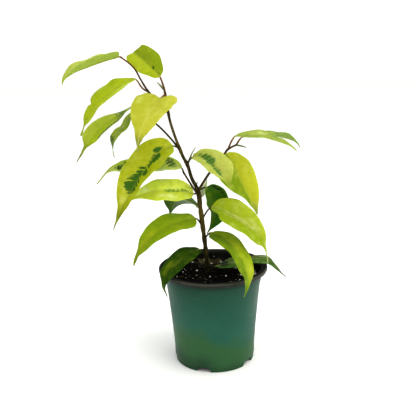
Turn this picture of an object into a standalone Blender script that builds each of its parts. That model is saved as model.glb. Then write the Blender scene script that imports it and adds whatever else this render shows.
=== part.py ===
"""Potted weeping fig: a slim stem with side shoots and twenty-one leaves, in soil, in a nursery pot.

Metres, +Z up. The origin is the middle of the pot's base, on the ground, and the plant's front
faces -Y. The lengths below are millimetres, and MM turns them into metres.
"""

import math
from dataclasses import dataclass

import bmesh
import bpy
import numpy as np

MM = 0.001
GAP = 0.3  # clearance between neighbouring pieces

# Pot: an injection-moulded nursery pot with a turned-out lip and a notched foot
POT_SIDES = 60
POT_WALL = 1.3
LIP_RADIUS = 55.0
LIP_UNDER = 94.3
LIP_TOP = 98.0
FOOT_RADIUS = 40.3
OUTER_WALL = ((40.3, 0.0), (40.5, 4.5), (41.1, 6.0), (41.2, 14.0), (42.9, 37.0), (45.2, 61.0),
              (47.8, 83.6), (48.5, 84.4), (48.8, 93.8))
FLOOR_UNDER = 5.2
FLOOR_TOP = 6.8
PAD_RADIUS = 7.0  # middle boss of the base, level with the foot
NOTCHES = 5
NOTCH_FIRST = 55.0  # degrees from the front towards +X
NOTCH_WIDTH = 16.0
NOTCH_TOP_WIDTH = 11.5
NOTCH_HEIGHT = 4.4
DRAINS = 4
DRAIN_RADIUS = 4.5
DRAIN_AT = 22.0

# Soil: fills the pot to just under the lip, with a blind hole for the buried end of the stem
SOIL_SIDES = 40
SOIL_TOP = 92.6
SOIL_MOUND = 0.9
STEM_HOLE = 3.3
STEM_HOLE_FLOOR = 57.0

# Leaves
BLADE_THICK = 0.8
STALK_RADIUS = 0.62
STALK_STEP = 2.6
BREADTHS_AT = (0.10, 0.25, 0.45, 0.65, 0.80, 0.90)  # where the half widths below are given
RINGS_AT = (0, 0.03, 0.08, 0.15, 0.24, 0.34, 0.45, 0.56, 0.67, 0.77, 0.86, 0.93, 1)
ACROSS = (-1, -0.5, 0, 0.5, 1)
BASE_HALF = 0.7
TIP_HALF = 0.45
CUP = 0.2  # how far a half bows between midrib and edge, as a share of its width
LOBE_REACH = 7.0
LOBE_FULL_AT = 8.0

# Stem: centre line x, y, z and radius of the trunk and of what grows from it
TRUNK_SIDES = 10
SHOOT_SIDES = 8
TRUNK = ((-4.6, -7, 58, 2.6), (-4.8, -7, 80, 2.45), (-5.2, -7, 94, 2.25), (-7, -7, 118, 2.0),
         (-9.8, -6.5, 146, 2.0), (-11.3, -6.5, 161, 2.0), (-13.1, -6, 177, 1.9), (-18.7, -6, 189.5, 1.7),
         (-22.6, -6, 203, 1.55), (-26.6, -6, 211, 1.5), (-29.6, -6, 219, 1.4), (-33.4, -6, 230, 1.25),
         (-38, -6, 246.5, 1.2), (-41, -6, 268.5, 1.0), (-42.5, -6, 277, 0.9), (-45, -5, 285, 0.7))
SHOOTS = {
    "low left": ((-29.5, -6, 217.5, 1.0), (-37, -2, 227, 0.9), (-51, 4, 241, 0.85),
                 (-63, 8, 249.5, 0.8), (-73, 10, 256.5, 0.7)),
    "high left": ((-38.9, -6, 252.5, 0.9), (-47, -3, 262, 0.95), (-57.3, 0, 272.5, 0.9),
                  (-64, -1, 283.9, 0.85), (-69.8, -2, 294.9, 0.8), (-82.1, 0, 305.2, 0.7)),
    "right": ((-13, -6, 177, 1.3), (-7, -5, 186, 1.25), (-2, -4, 193.3, 1.2), (7, -3, 204, 1.1),
              (14.3, -2, 213.4, 1.0), (17, -2, 216.5, 0.95), (25, -2, 220.5, 0.85),
              (30, -2.6, 219.4, 0.75), (34.7, -3, 217.8, 0.4)),
    "middle left": ((-13, -6.5, 171.5, 1.1), (-14.6, -10.2, 176, 1.0), (-18, -11, 182, 0.95),
                    (-23.3, -10.8, 191, 0.9), (-26.5, -10, 196.5, 0.85)),
    "top bud": ((-42, -6, 274, 0.7), (-43.7, -6.3, 276.4, 0.95), (-48.6, -8, 282.2, 0.35)),
    "middle bud": ((-22.5, -6, 202.5, 1.0), (-20.5, -5, 207.7, 0.9), (-17.6, -4.4, 214.3, 0.6),
                   (-14.2, -4.4, 219.3, 0.35)),
    "crotch bud": ((-14, -6, 178, 1.0), (-14.6, -5.8, 181, 0.95), (-13.3, -5, 186, 0.35)),
}


@dataclass(frozen=True)
class Leaf:
    """One leaf, in millimetres. Left and right are seen from above with the tip ahead."""

    foot: tuple  # point on the stem where the stalk grows
    midrib: tuple  # points from the blade's base to its tip
    face: tuple  # directions of the upper face at base, middle and tip
    left: tuple  # half widths
    right: tuple
    lift: tuple  # degrees that the left and the right half rise from the midrib
    colour: str
    stalk: tuple = ()  # points between foot and base
    lobes: tuple = (0, 0)  # how far each half sweeps back at the base


LEAVES = {
    "leaf_01": Leaf(
        foot=(-82.1, 0, 305.2), colour="#B2CA60", lift=(31, 31),
        midrib=((-83.5, -0.5, 305.4), (-94.5, -8, 302.5), (-112.1, -17, 296.3), (-121.6, -22, 292.5),
                (-129.5, -26, 287), (-132.2, -28, 282.2)),
        face=((-0.15, -0.05, 1), (-0.3, -0.1, 0.95), (-0.7, -0.35, 0.6)),
        left=(11, 12.8, 12.8, 10.5, 6, 1.8), right=(10.5, 12.6, 13.2, 12.6, 10, 5)),
    "leaf_02": Leaf(
        foot=(-45, -5, 285), colour="#A6B818", lift=(12, 12),
        midrib=((-45.5, -5, 286.3), (-57, 6, 297), (-67, 20, 305), (-73, 32, 308.5), (-76.5, 44, 306),
                (-79.5, 54, 298)),
        face=((-0.2, -0.8, 0.55), (-0.5, -0.5, 0.7), (-0.4, 0.4, 0.8)),
        left=(7, 12, 12.5, 8.5, 4, 1.4), right=(10, 14.5, 13.5, 9.5, 5, 1.5)),
    "leaf_03": Leaf(
        foot=(-57.3, 0, 272.5), stalk=((-63.2, 2, 276),), colour="#A0B810", lift=(14, 14),
        midrib=((-69.5, 2, 284.5), (-80, -2, 281), (-91, -6, 274), (-101, -10, 267), (-108.5, -13, 259),
                (-114, -15, 250), (-120.5, -17, 234.5)),
        face=((-0.1, -0.43, 0.9), (-0.4, -0.5, 0.77), (-0.73, -0.58, 0.36)),
        left=(7, 12.5, 13.5, 12, 8, 2), right=(5.5, 13.5, 12.5, 8.2, 5.2, 1.6)),
    "leaf_04": Leaf(
        foot=(-73, 10, 256.5), colour="#9FBF10", lift=(4, 4),
        midrib=((-75, 9, 258), (-86.5, 7, 251.3), (-98, 4, 245.5), (-108.5, 0, 237.5), (-116, -4, 228),
                (-120, -6, 221), (-128, -9, 208.5)),
        face=((-0.27, -0.14, 0.9), (-0.35, -0.57, 0.75), (-0.56, -0.64, 0.53)),
        left=(8, 13.5, 13.5, 10, 3, 0.9), right=(4, 8, 13.5, 12, 4, 1)),
    "leaf_05": Leaf(
        foot=(-73, 10, 256.5), colour="#6F9400", lift=(5, 5),
        midrib=((-76, 13, 251.5), (-83.8, 18, 240), (-93.6, 21, 230), (-97.7, 23, 219), (-97, 25, 206.5)),
        face=((-0.8, -0.45, 0.35), (-0.65, -0.42, 0.6), (-0.85, -0.5, 0)),
        left=(7, 10.5, 9, 6, 2.5, 0.7), right=(5, 7, 8.5, 9, 3, 0.7)),
    "leaf_06": Leaf(
        foot=(-41.5, -7, 270), colour="#D0D550", lift=(8, 14), lobes=(7, 2.5),
        midrib=((-45.5, -10, 267), (-52.5, -18, 259), (-58.5, -30, 249.5), (-64, -42, 235.5), (-65, -50, 223)),
        face=((-0.25, -0.55, 0.78), (-0.1, -0.62, 0.75), (0.1, -0.85, 0.5)),
        left=(23.5, 20, 14, 8.5, 3.8, 1.2), right=(21, 19.8, 15, 8.2, 3.2, 1.1)),
    "leaf_07": Leaf(
        foot=(-30, -7, 219), colour="#B4C222", lift=(20, 20),
        midrib=((-35.5, -10, 222), (-49, -16, 217), (-60, -24, 204.5), (-69, -30, 193), (-77.5, -35, 179.5),
                (-84, -38, 168.5), (-92, -42, 149.5)),
        face=((0.1, -0.6, 0.8), (-0.32, -0.7, 0.63), (-0.4, -0.87, 0.32)),
        left=(14.5, 17, 11, 9, 5.5, 2.2), right=(13, 18.5, 19.3, 13.2, 5, 1.6)),
    "leaf_08": Leaf(
        foot=(-26.5, -10, 196.5), colour="#5F7F3C", lift=(-18, -18),
        midrib=((-28, -10, 200.5), (-38, -6, 207), (-59, 0, 209.5), (-81, 4, 203.8), (-99.5, 7, 198),
                (-113.5, 9, 183)),
        face=((0.4, -0.5, 0.75), (-0.2, -0.5, 0.84), (-0.6, -0.63, 0.48)),
        left=(11, 15, 14, 8, 3, 1), right=(8, 11, 13, 9, 3.5, 1)),
    "leaf_09": Leaf(
        foot=(-14.4, -5.5, 174.8), colour="#96B420", lift=(4, 4),
        midrib=((-17.2, -9, 174.6), (-28.5, -11, 178), (-40, -12, 179.6), (-53, -13, 179.9),
                (-66, -12.5, 176.5), (-76, -12, 173), (-88, -9, 167)),
        face=((0.33, -0.54, 0.77), (0, -0.56, 0.83), (-0.43, -0.59, 0.68)),
        left=(9.5, 15, 14.5, 8.5, 4, 1.2), right=(11, 15, 14, 9, 4, 1.2)),
    "leaf_10": Leaf(
        foot=(-10.5, -6, 154), colour="#47602C", lift=(8, 8),
        midrib=((-12.5, -1, 159), (-22, 8, 163.5), (-31, 20, 162.5), (-38.5, 31, 156.5), (-44.5, 40, 140.8)),
        face=((0.5, 0.5, 0.6), (0.1, 0.75, 0.6), (-0.5, 0.7, 0.3)),
        left=(7, 11, 13, 13, 7, 2), right=(8, 14, 16.5, 13.5, 9, 2.8)),
    "leaf_11": Leaf(
        foot=(-9.2, -7, 140), colour="#7FA000", lift=(10, 10),
        midrib=((-16, -10, 150.5), (-29, -15, 149.5), (-42.5, -20, 147), (-56, -24, 140), (-66, -27, 131.5),
                (-72.5, -29, 121.5), (-76.5, -31, 110)),
        face=((0.1, -0.46, 0.88), (-0.2, -0.5, 0.84), (-0.63, -0.7, 0.34)),
        left=(15, 15.5, 15, 12.5, 7.5, 2.6), right=(9.5, 13, 13.5, 9, 3.6, 1.2)),
    "leaf_12": Leaf(
        foot=(-7, -7, 116), colour="#356F0C", lift=(6, 6),
        midrib=((-12, -12, 119), (-22.5, -19, 118), (-32, -27, 114.5), (-40.5, -34, 109), (-45.5, -39, 102),
                (-47.5, -42, 94), (-44.5, -44, 83)),
        face=((0.1, -0.28, 0.95), (-0.3, -0.35, 0.9), (-0.6, -0.78, -0.1)),
        left=(7.5, 12.5, 14.5, 11, 4.5, 1.2), right=(8, 11.5, 11, 8.5, 3.6, 1.1)),
    "leaf_13": Leaf(
        foot=(-8, -7, 128), colour="#8FA420", lift=(6, 6),
        midrib=((-1.5, -12, 136), (9, -22, 134.5), (20, -36, 128.5), (27, -48, 120.5), (30.5, -56, 111.5),
                (31, -60, 101), (27.5, -61, 88)),
        face=((-0.1, -0.25, 0.96), (0.42, -0.3, 0.86), (0.61, -0.77, -0.1)),
        left=(8, 11, 11, 10.5, 6, 2), right=(10, 14, 12.4, 12, 5.5, 2.2)),
    "leaf_14": Leaf(
        foot=(-4, -6, 98), colour="#4C8F30", lift=(8, -8),
        midrib=((2.5, -6, 99), (13, -5, 101), (27, -3, 103), (43.5, -1, 104), (56, 0, 102.5), (64.5, -1, 94.4),
                (73.5, -2, 84.3)),
        face=((-0.13, -0.05, 1), (0, -0.05, 1), (0.76, -0.26, 0.6)),
        left=(5.5, 8, 7, 6.5, 3, 1), right=(9, 11, 10, 8, 4, 1.2)),
    "leaf_15": Leaf(
        foot=(-10, -6, 147.5), colour="#A8C000", lift=(26, 26),
        midrib=((0, -8, 161), (10, -13, 158), (17.5, -18, 154), (29, -24, 148), (42, -31, 139),
                (48.5, -35, 130.5), (52, -38, 112)),
        face=((-0.05, -0.58, 0.81), (0.2, -0.62, 0.76), (0.53, -0.84, 0.15)),
        left=(12.5, 18, 15.5, 9, 2, 0.7), right=(9, 18.5, 17, 15, 4.2, 0.8)),
    "leaf_16": Leaf(
        foot=(9, -3, 206), colour="#AEC22A", lift=(14, 14),
        midrib=((14.8, -5, 212.9), (18.6, -6, 208.3), (25.1, -7.5, 194.5), (35.2, -10.5, 172.9),
                (44.3, -13, 153.6)),
        face=((0, -0.98, 0.22), (0, -0.95, 0.32), (0, -0.97, 0.25)),
        left=(10, 15.5, 16, 12.5, 8, 4), right=(12, 19, 15.5, 8, 4, 1.5)),
    "leaf_17": Leaf(
        foot=(-23.2, -7, 204), colour="#BFCF60", lift=(26, 26), lobes=(4, 1),
        midrib=((-17, -10, 211), (-11, -15, 212), (-4.5, -21, 209.5), (2, -28, 205), (10, -37, 198.5),
                (16.5, -45, 188.5)),
        face=((-0.5, -0.5, 0.7), (0.05, -0.52, 0.85), (0.37, -0.66, 0.66)),
        left=(6, 10.5, 15, 15, 10, 5), right=(7, 9, 12.2, 15, 9, 4)),
    "leaf_18": Leaf(
        foot=(17, -2, 216.5), colour="#B0C850", lift=(10, 10),
        midrib=((24, -2, 229), (36, -7, 230.5), (50.5, -13, 230), (65, -19, 226.5), (74, -22, 222),
                (80, -24, 217)),
        face=((-0.28, -0.15, 0.95), (0.05, -0.2, 0.98), (0.5, -0.28, 0.8)),
        left=(6, 9, 11, 7, 3.5, 1.2), right=(7, 12, 13, 11, 6.5, 2)),
    "leaf_19": Leaf(
        foot=(25, -2, 220.5), colour="#7A9A50", lift=(8, 8),
        midrib=((32, 8, 227), (45, 11, 228), (61, 15, 227.5), (76.5, 18, 224), (85.5, 19, 219), (90, 20, 213)),
        face=((-0.24, 0.43, 0.87), (0.05, 0.4, 0.9), (0.58, 0.33, 0.74)),
        left=(8, 11, 11.5, 9, 5, 1.6), right=(5, 7.5, 9, 7.5, 4.5, 1.6)),
    "leaf_20": Leaf(
        foot=(-12, -4, 177), colour="#2F6000", lift=(24, 24),
        midrib=((-5.5, 3, 178), (1.5, 5, 169), (5, 6, 156.5), (2, 6, 144), (-5.5, 5, 130)),
        face=((0.5, -0.82, 0.28), (0.4, -0.9, 0), (0.27, -0.96, -0.08)),
        left=(9.5, 13.5, 13, 9, 4, 1.5), right=(10.5, 13.5, 10.5, 6, 2.5, 0.9)),
    "leaf_21": Leaf(
        foot=(-11.5, -5, 166), colour="#B9C48C", lift=(10, 10),
        midrib=((-11.9, 0.5, 168.4), (-7.3, 7, 174.4), (-4, 13, 183.8)),
        face=((0.2, -0.86, 0.48), (0.05, -0.85, 0.52)),
        left=(3, 4, 3.6, 2.6, 1.4, 0.7), right=(2, 2.5, 2.6, 2.2, 1.2, 0.6)),
}


def unit(rows):
    """Each row scaled to length 1."""
    rows = np.asarray(rows, float)
    return rows / np.linalg.norm(rows, axis=-1, keepdims=True)


def hermite(u, start, end, slope_start, slope_end):
    """Cubic between two values with the given slopes, for u in 0..1."""
    return ((2 * u**3 - 3 * u**2 + 1) * start + (u**3 - 2 * u**2 + u) * slope_start
            + (-2 * u**3 + 3 * u**2) * end + (u**3 - u**2) * slope_end)


def curve(points, shares):
    """Smooth curve through the points, read at the given shares of its length, and that length."""
    points = np.asarray(points, float)
    step = np.linalg.norm(np.diff(points, axis=0), axis=1) ** 0.5
    knot = np.concatenate([[0], np.cumsum(step)])
    chord = np.diff(points, axis=0) / step[:, None]
    slope = np.empty_like(points)
    for i in range(1, len(points) - 1):
        slope[i] = (chord[i - 1] * step[i] + chord[i] * step[i - 1]) / (step[i] + step[i - 1])
    if len(points) > 2:
        slope[0] = 1.5 * chord[0] - 0.5 * slope[1]
        slope[-1] = 1.5 * chord[-1] - 0.5 * slope[-2]
    else:
        slope[:] = chord[0]
    fine = []
    for k in np.linspace(0, knot[-1], 241):
        i = min(int(np.searchsorted(knot, k, side="right")) - 1, len(step) - 1)
        fine.append(hermite((k - knot[i]) / step[i], points[i], points[i + 1],
                            step[i] * slope[i], step[i] * slope[i + 1]))
    fine = np.array(fine)
    run = np.concatenate([[0], np.cumsum(np.linalg.norm(np.diff(fine[:, :3], axis=0), axis=1))])
    at = np.asarray(shares, float) * run[-1]
    return np.stack([np.interp(at, run, fine[:, k]) for k in range(fine.shape[1])], -1), run[-1]


def directions(points, shares):
    """Unit tangents of the smooth curve at the given shares of its length."""
    shares = np.asarray(shares, float)
    before, _ = curve(points, np.clip(shares - 0.02, 0, 1))
    after, _ = curve(points, np.clip(shares + 0.02, 0, 1))
    return unit(after[:, :3] - before[:, :3])


def half_widths(values, shares):
    """Half width of a blade side at each share of the midrib, without overshoot."""
    x = np.array([0.0, 0.03, *BREADTHS_AT, 1.0])
    y = np.array([BASE_HALF, 0.62 * values[0], *values, TIP_HALF])
    step = np.diff(x)
    rise = np.diff(y) / step
    slope = np.zeros_like(y)
    slope[0] = rise[0]
    slope[-1] = rise[-1]
    for i in range(1, len(x) - 1):
        if rise[i - 1] * rise[i] > 0:
            first = 2 * step[i] + step[i - 1]
            second = step[i] + 2 * step[i - 1]
            slope[i] = (first + second) / (first / rise[i - 1] + second / rise[i])
    out = []
    for share in shares:
        i = min(max(int(np.searchsorted(x, share, side="right")) - 1, 0), len(step) - 1)
        out.append(hermite((share - x[i]) / step[i], y[i], y[i + 1], step[i] * slope[i], step[i] * slope[i + 1]))
    return np.array(out)


def blade_grid(leaf):
    """Points of the blade's middle surface, its normals, and the base ring's face direction."""
    shares = np.array(RINGS_AT, float)
    spine, length = curve(leaf.midrib, shares)
    ahead = directions(leaf.midrib, shares)
    face = unit(leaf.face)
    at = np.linspace(0, 1, len(face))
    up = np.stack([np.interp(shares, at, face[:, k]) for k in range(3)], -1)
    up = unit(up - (up * ahead).sum(1)[:, None] * ahead)
    right = np.cross(ahead, up)
    widths = {-1: half_widths(leaf.left, shares), 1: half_widths(leaf.right, shares)}
    grid = np.empty((len(shares), len(ACROSS), 3))
    for i, share in enumerate(shares):
        near_base = math.exp(-(share * length / LOBE_REACH) ** 2)
        for j, q in enumerate(ACROSS):
            side = -1 if q < 0 else 1
            width = widths[side][i]
            rise = math.radians(leaf.lift[0] if q < 0 else leaf.lift[1])
            d = abs(q)
            out = width * d * math.cos(rise)
            lifted = width * (d * math.sin(rise) + CUP * (d - d * d))
            lobe = leaf.lobes[0] if q < 0 else leaf.lobes[1]
            back = lobe * near_base * d * min(1, width / LOBE_FULL_AT)
            grid[i, j] = spine[i] + side * right[i] * out + up[i] * lifted - ahead[i] * back
    along = np.gradient(grid, axis=0)
    across = np.gradient(grid, axis=1)
    return grid, unit(np.cross(across, along)), up[0]


def stem_tubes():
    """Centre lines and radii of the trunk and the shoots, sampled closely."""
    return [curve(points, np.linspace(0, 1, 121))[0] for points in (TRUNK, *SHOOTS.values())]


def stem_clearance(point, tubes):
    """Distance from a point to the surface of the stem; less than 0 inside it."""
    nearest = math.inf
    for tube in tubes:
        start = tube[:-1]
        run = np.diff(tube, axis=0)
        length = np.linalg.norm(run[:, :3], axis=1)
        share = ((point - start[:, :3]) * run[:, :3]).sum(1) / length**2
        held = np.clip(share, 0, 1)
        close = start + held[:, None] * run
        past = np.abs(share - held) * length
        away = np.linalg.norm(point - close[:, :3], axis=1)
        radial = np.sqrt(np.maximum(away**2 - past**2, 0)) - close[:, 3]
        distance = np.where(past > 1e-6, np.hypot(np.maximum(radial, 0), past), radial)
        nearest = min(nearest, float(distance.min()))
    return nearest


def ring_around(centre, ahead, up, radius, count):
    """Points of a round section, from the upper left over the top and back below."""
    right = np.cross(ahead, up)
    half = math.pi / count
    angles = [math.pi - half - 2 * half * k for k in range(count)]
    return [centre + radius * (math.cos(a) * right + math.sin(a) * up) for a in angles]


def stalk_rings(leaf, base_up, tubes):
    """Round sections of the leaf stalk, from just clear of the stem to just before the blade."""
    points = [leaf.foot, *leaf.stalk, leaf.midrib[0], leaf.midrib[1]]
    shares = np.linspace(0, 1, 401)
    path, length = curve(points, shares)
    end = int(np.linalg.norm(path - np.array(leaf.midrib[0], float), axis=1).argmin())
    ahead = directions(points, shares)
    sections = []
    up = base_up
    for k in range(end, -1, -1):
        up = unit(up - (up @ ahead[k]) * ahead[k])
        ring = ring_around(path[k], ahead[k], up, STALK_RADIUS, 2 * len(ACROSS))
        if min(stem_clearance(p, tubes) for p in ring) < GAP:
            break
        sections.append(ring)
    used = (len(sections) - 1) * length / 400
    count = max(1, round(used / STALK_STEP))
    picked = np.linspace(len(sections) - 1, 0, count + 1)[:-1]
    return [sections[int(round(k))] for k in picked]


def linear(code):
    """Linear RGBA of an sRGB hex colour."""
    levels = [int(code[k:k + 2], 16) / 255 for k in (1, 3, 5)]
    return tuple(v / 12.92 if v <= 0.04045 else ((v + 0.055) / 1.055) ** 2.4 for v in levels) + (1.0,)


def material(name, colour, roughness):
    """A plain material with one colour."""
    made = bpy.data.materials.new(name)
    made.use_nodes = True
    shader = made.node_tree.nodes["Principled BSDF"]
    shader.inputs["Base Color"].default_value = linear(colour)
    shader.inputs["Roughness"].default_value = roughness
    shader.inputs["Metallic"].default_value = 0.0
    made.diffuse_color = linear(colour)
    return made


def solid(name, points, faces, origin, parent, look=None, smooth_below=40):
    """An object from points in millimetres, with its own origin, shaded smooth."""
    mesh = bpy.data.meshes.new(name)
    origin = np.asarray(origin, float)
    mesh.from_pydata([tuple((np.asarray(p, float) - origin) * MM) for p in points], [], faces)
    work = bmesh.new()
    work.from_mesh(mesh)
    bmesh.ops.recalc_face_normals(work, faces=work.faces)
    work.to_mesh(mesh)
    work.free()
    mesh.shade_smooth()
    mesh.set_sharp_from_angle(angle=math.radians(smooth_below))
    made = bpy.data.objects.new(name, mesh)
    made.location = tuple(origin * MM)
    made.parent = parent
    if look:
        mesh.materials.append(look)
    bpy.context.scene.collection.objects.link(made)
    return made


def boolean(target, other, operation):
    """Join another object to the target, or cut it away; the other stays as a hidden guide."""
    other.hide_render = True
    other.display_type = "WIRE"
    step = target.modifiers.new(other.name, "BOOLEAN")
    step.operation = operation
    step.solver = "EXACT"
    step.object = other


def lofted(rings):
    """Points and faces of a closed body through rings of equal size, its ends closed by fans."""
    count = len(rings[0])
    points = [p for ring in rings for p in ring]
    faces = []
    for i in range(len(rings) - 1):
        for j in range(count):
            k = (j + 1) % count
            faces.append((i * count + j, i * count + k, (i + 1) * count + k, (i + 1) * count + j))
    faces.append(tuple(range(count - 1, -1, -1)))
    faces.append(tuple(range((len(rings) - 1) * count, len(rings) * count)))
    return points, faces


def build_leaf(name, leaf, tubes, parent):
    """A leaf as one closed body: a round stalk that widens into a folded blade."""
    grid, normal, base_up = blade_grid(leaf)
    rings = stalk_rings(leaf, base_up, tubes)
    half = BLADE_THICK / 2
    for row, face in zip(grid, normal):
        rings.append([*(row + face * half), *(row - face * half)[::-1]])
    width = len(ACROSS)
    count = 2 * width
    points = [p for ring in rings for p in ring]
    faces = []
    for i in range(len(rings) - 1):
        for j in range(count):
            k = (j + 1) % count
            a, b, c, d = i * count + j, i * count + k, (i + 1) * count + k, (i + 1) * count + j
            # The same split on both faces, outwards and ahead like the side veins
            if j in (0, 1, 5, 6):
                faces += [(a, b, d), (b, c, d)]
            else:
                faces += [(a, b, c), (a, c, d)]
    faces.append(tuple(range(count - 1, -1, -1)))
    last = (len(rings) - 1) * count
    for j in range(width - 1):
        faces.append((last + j, last + j + 1, last + count - 2 - j, last + count - 1 - j))
    look = material(name + "_blade", leaf.colour, 0.45)
    return solid(name, points, faces, leaf.foot, parent, look)


def tube_rings(points, sides, spacing):
    """Round sections along a centre line with a radius at each point."""
    _, length = curve(points, [0, 1])
    shares = np.linspace(0, 1, max(3, round(length / spacing) + 1))
    path, _ = curve(points, shares)
    ahead = directions(points, shares)
    up = unit(np.cross(ahead[0], (0.3, 1.0, 0.1)))
    rings = []
    for centre, forward in zip(path, ahead):
        up = unit(up - (up @ forward) * forward)
        rings.append(ring_around(centre[:3], forward, up, centre[3], sides))
    return rings


def build_stem(parent):
    """The trunk with its shoots and buds joined to it."""
    bark = material("bark", "#4A3B1E", 0.7)
    origin = TRUNK[0][:3]
    stem = solid("stem", *lofted(tube_rings(TRUNK, TRUNK_SIDES, 9.0)), origin, parent, bark, 60)
    for label, points in SHOOTS.items():
        spacing = 3.0 if label.endswith("bud") else 7.0
        rings = tube_rings(points, SHOOT_SIDES, spacing)
        shoot = solid(label + " shoot", *lofted(rings), points[0][:3], parent)
        boolean(stem, shoot, "UNION")
    return stem


def turned_solid(outline, sides):
    """Points and faces of a body turned from an outline (radius, height) that starts and ends on the axis."""
    first, *middle, last = outline
    points = [(0, 0, first[1])]
    for k in range(sides):
        angle = 2 * math.pi * k / sides
        points += [(r * math.cos(angle), r * math.sin(angle), z) for r, z in middle]
    points.append((0, 0, last[1]))
    count = len(middle)
    top = len(points) - 1
    faces = []
    for k in range(sides):
        n = (k + 1) % sides
        faces.append((0, 1 + n * count, 1 + k * count))
        for j in range(count - 1):
            faces.append((1 + k * count + j, 1 + n * count + j, 2 + n * count + j, 2 + k * count + j))
        faces.append((top, k * count + count, n * count + count))
    return points, faces


def inner_wall_radius(z):
    """Radius of the pot's inside at a height."""
    heights = [p[1] for p in OUTER_WALL]
    radii = [p[0] for p in OUTER_WALL]
    return float(np.interp(z, heights, radii)) - POT_WALL


def pot_outline():
    """Section of the pot: outer wall up, over the lip, inner wall down to the floor, foot inside."""
    outline = [(0, 0), (PAD_RADIUS, 0), (PAD_RADIUS, FLOOR_UNDER), (FOOT_RADIUS - 2.0, FLOOR_UNDER),
               (FOOT_RADIUS - 1.8, 0)]
    outline += OUTER_WALL
    outline += [(49.3, LIP_UNDER), (LIP_RADIUS - 0.4, LIP_UNDER), (LIP_RADIUS, LIP_UNDER + 0.5),
                (LIP_RADIUS, LIP_TOP - 1.0), (LIP_RADIUS - 0.9, LIP_TOP), (50.0, LIP_TOP),
                (48.5, LIP_TOP - 0.9), (47.6, LIP_TOP - 3.2)]
    for z in (84.4, 61.0, 37.0, 14.0):
        outline.append((inner_wall_radius(z), z))
    outline += [(inner_wall_radius(FLOOR_TOP) - 0.5, FLOOR_TOP), (0, FLOOR_TOP)]
    return outline


def notch_cutter(number, parent):
    """A wedge that cuts one rounded notch out of the foot ring."""
    angle = math.radians(NOTCH_FIRST + number * 360 / NOTCHES - 90)
    outward = np.array([math.cos(angle), math.sin(angle), 0])
    sideways = np.array([-math.sin(angle), math.cos(angle), 0])
    wide = NOTCH_WIDTH / 2
    narrow = NOTCH_TOP_WIDTH / 2
    section = [(-wide - 0.5, -1.0), (wide + 0.5, -1.0), (wide, 0.6), (narrow + 0.9, NOTCH_HEIGHT - 0.9),
               (narrow - 0.6, NOTCH_HEIGHT), (0.6 - narrow, NOTCH_HEIGHT),
               (-narrow - 0.9, NOTCH_HEIGHT - 0.9), (-wide, 0.6)]
    rings = []
    for radius in (FOOT_RADIUS - 6.0, FOOT_RADIUS + 4.0):
        rings.append([outward * radius + sideways * x + np.array([0, 0, z]) for x, z in section])
    return solid(f"notch {number + 1}", *lofted(rings), (0, 0, 0), parent)


def round_cutter(name, x, y, radius, low, high, sides, parent):
    """An upright cylinder."""
    rings = []
    for z in (low, high):
        angles = [2 * math.pi * k / sides for k in range(sides)]
        rings.append([(x + radius * math.cos(a), y + radius * math.sin(a), z) for a in angles])
    return solid(name, *lofted(rings), (x, y, low), parent)


def build_pot(parent):
    """The pot with its notched foot and drain holes."""
    green = material("pot_plastic", "#3B6854", 0.5)
    pot = solid("pot", *turned_solid(pot_outline(), POT_SIDES), (0, 0, 0), parent, green, 35)
    for number in range(NOTCHES):
        boolean(pot, notch_cutter(number, parent), "DIFFERENCE")
    for number in range(DRAINS):
        angle = math.radians(45 + number * 360 / DRAINS)
        cutter = round_cutter(f"drain {number + 1}", DRAIN_AT * math.cos(angle), DRAIN_AT * math.sin(angle),
                              DRAIN_RADIUS, FLOOR_UNDER - 1, FLOOR_TOP + 1, 16, parent)
        boolean(pot, cutter, "DIFFERENCE")
    return pot


def build_soil(parent):
    """The soil, a little uneven on top, with the stem's hole."""
    dark = material("potting_soil", "#1E1A15", 0.95)
    edge = inner_wall_radius(SOIL_TOP) - GAP
    outline = [(0, FLOOR_TOP + GAP), (inner_wall_radius(FLOOR_TOP) - 0.5 - GAP, FLOOR_TOP + GAP)]
    for z in (14.0, 37.0, 61.0, 84.4):
        outline.append((inner_wall_radius(z) - GAP, z))
    outline.append((edge, SOIL_TOP - 1.0))
    for share in (0.86, 0.66, 0.44, 0.22):
        outline.append((edge * share, SOIL_TOP))
    outline.append((0, SOIL_TOP))
    points, faces = turned_solid(outline, SOIL_SIDES)
    uneven = []
    for x, y, z in points:
        if z > SOIL_TOP - 0.5:
            wave = math.sin(0.21 * x + 1.1) * math.cos(0.17 * y - 0.4) + 0.5 * math.sin(0.33 * x - 0.29 * y)
            z += SOIL_MOUND * 0.6 * wave
        uneven.append((x, y, z))
    soil = solid("soil", uneven, faces, (0, 0, 0), parent, dark, 50)
    x, y, *_ = TRUNK[0]
    hole = round_cutter("stem hole", x, y, STEM_HOLE, STEM_HOLE_FLOOR, SOIL_TOP + 6, 16, parent)
    boolean(soil, hole, "DIFFERENCE")
    return soil


def main():
    """Clear the scene and build the plant."""
    for existing in list(bpy.data.objects):
        bpy.data.objects.remove(existing, do_unlink=True)
    plant = bpy.data.objects.new("potted_fig", None)
    bpy.context.scene.collection.objects.link(plant)
    build_pot(plant)
    build_soil(plant)
    build_stem(plant)
    tubes = stem_tubes()
    for name, leaf in LEAVES.items():
        build_leaf(name, leaf, tubes, plant)


main()
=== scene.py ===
"""Potted weeping fig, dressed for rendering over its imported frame.

The centre lines, the blades' widths and the pot's section repeat the frame's numbers, in
millimetres. The blades are thinner than the frame's, with small dips and waves in their edges. The
front of the plant faces -Y and the origin is the middle of the pot's base.
"""

import logging
import math
import random
from dataclasses import dataclass, field
from enum import Enum
from typing import Any, Callable, Iterable, Optional, Sequence

import bmesh
import bpy
import numpy as np
from mathutils import Matrix, Vector, noise


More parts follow.
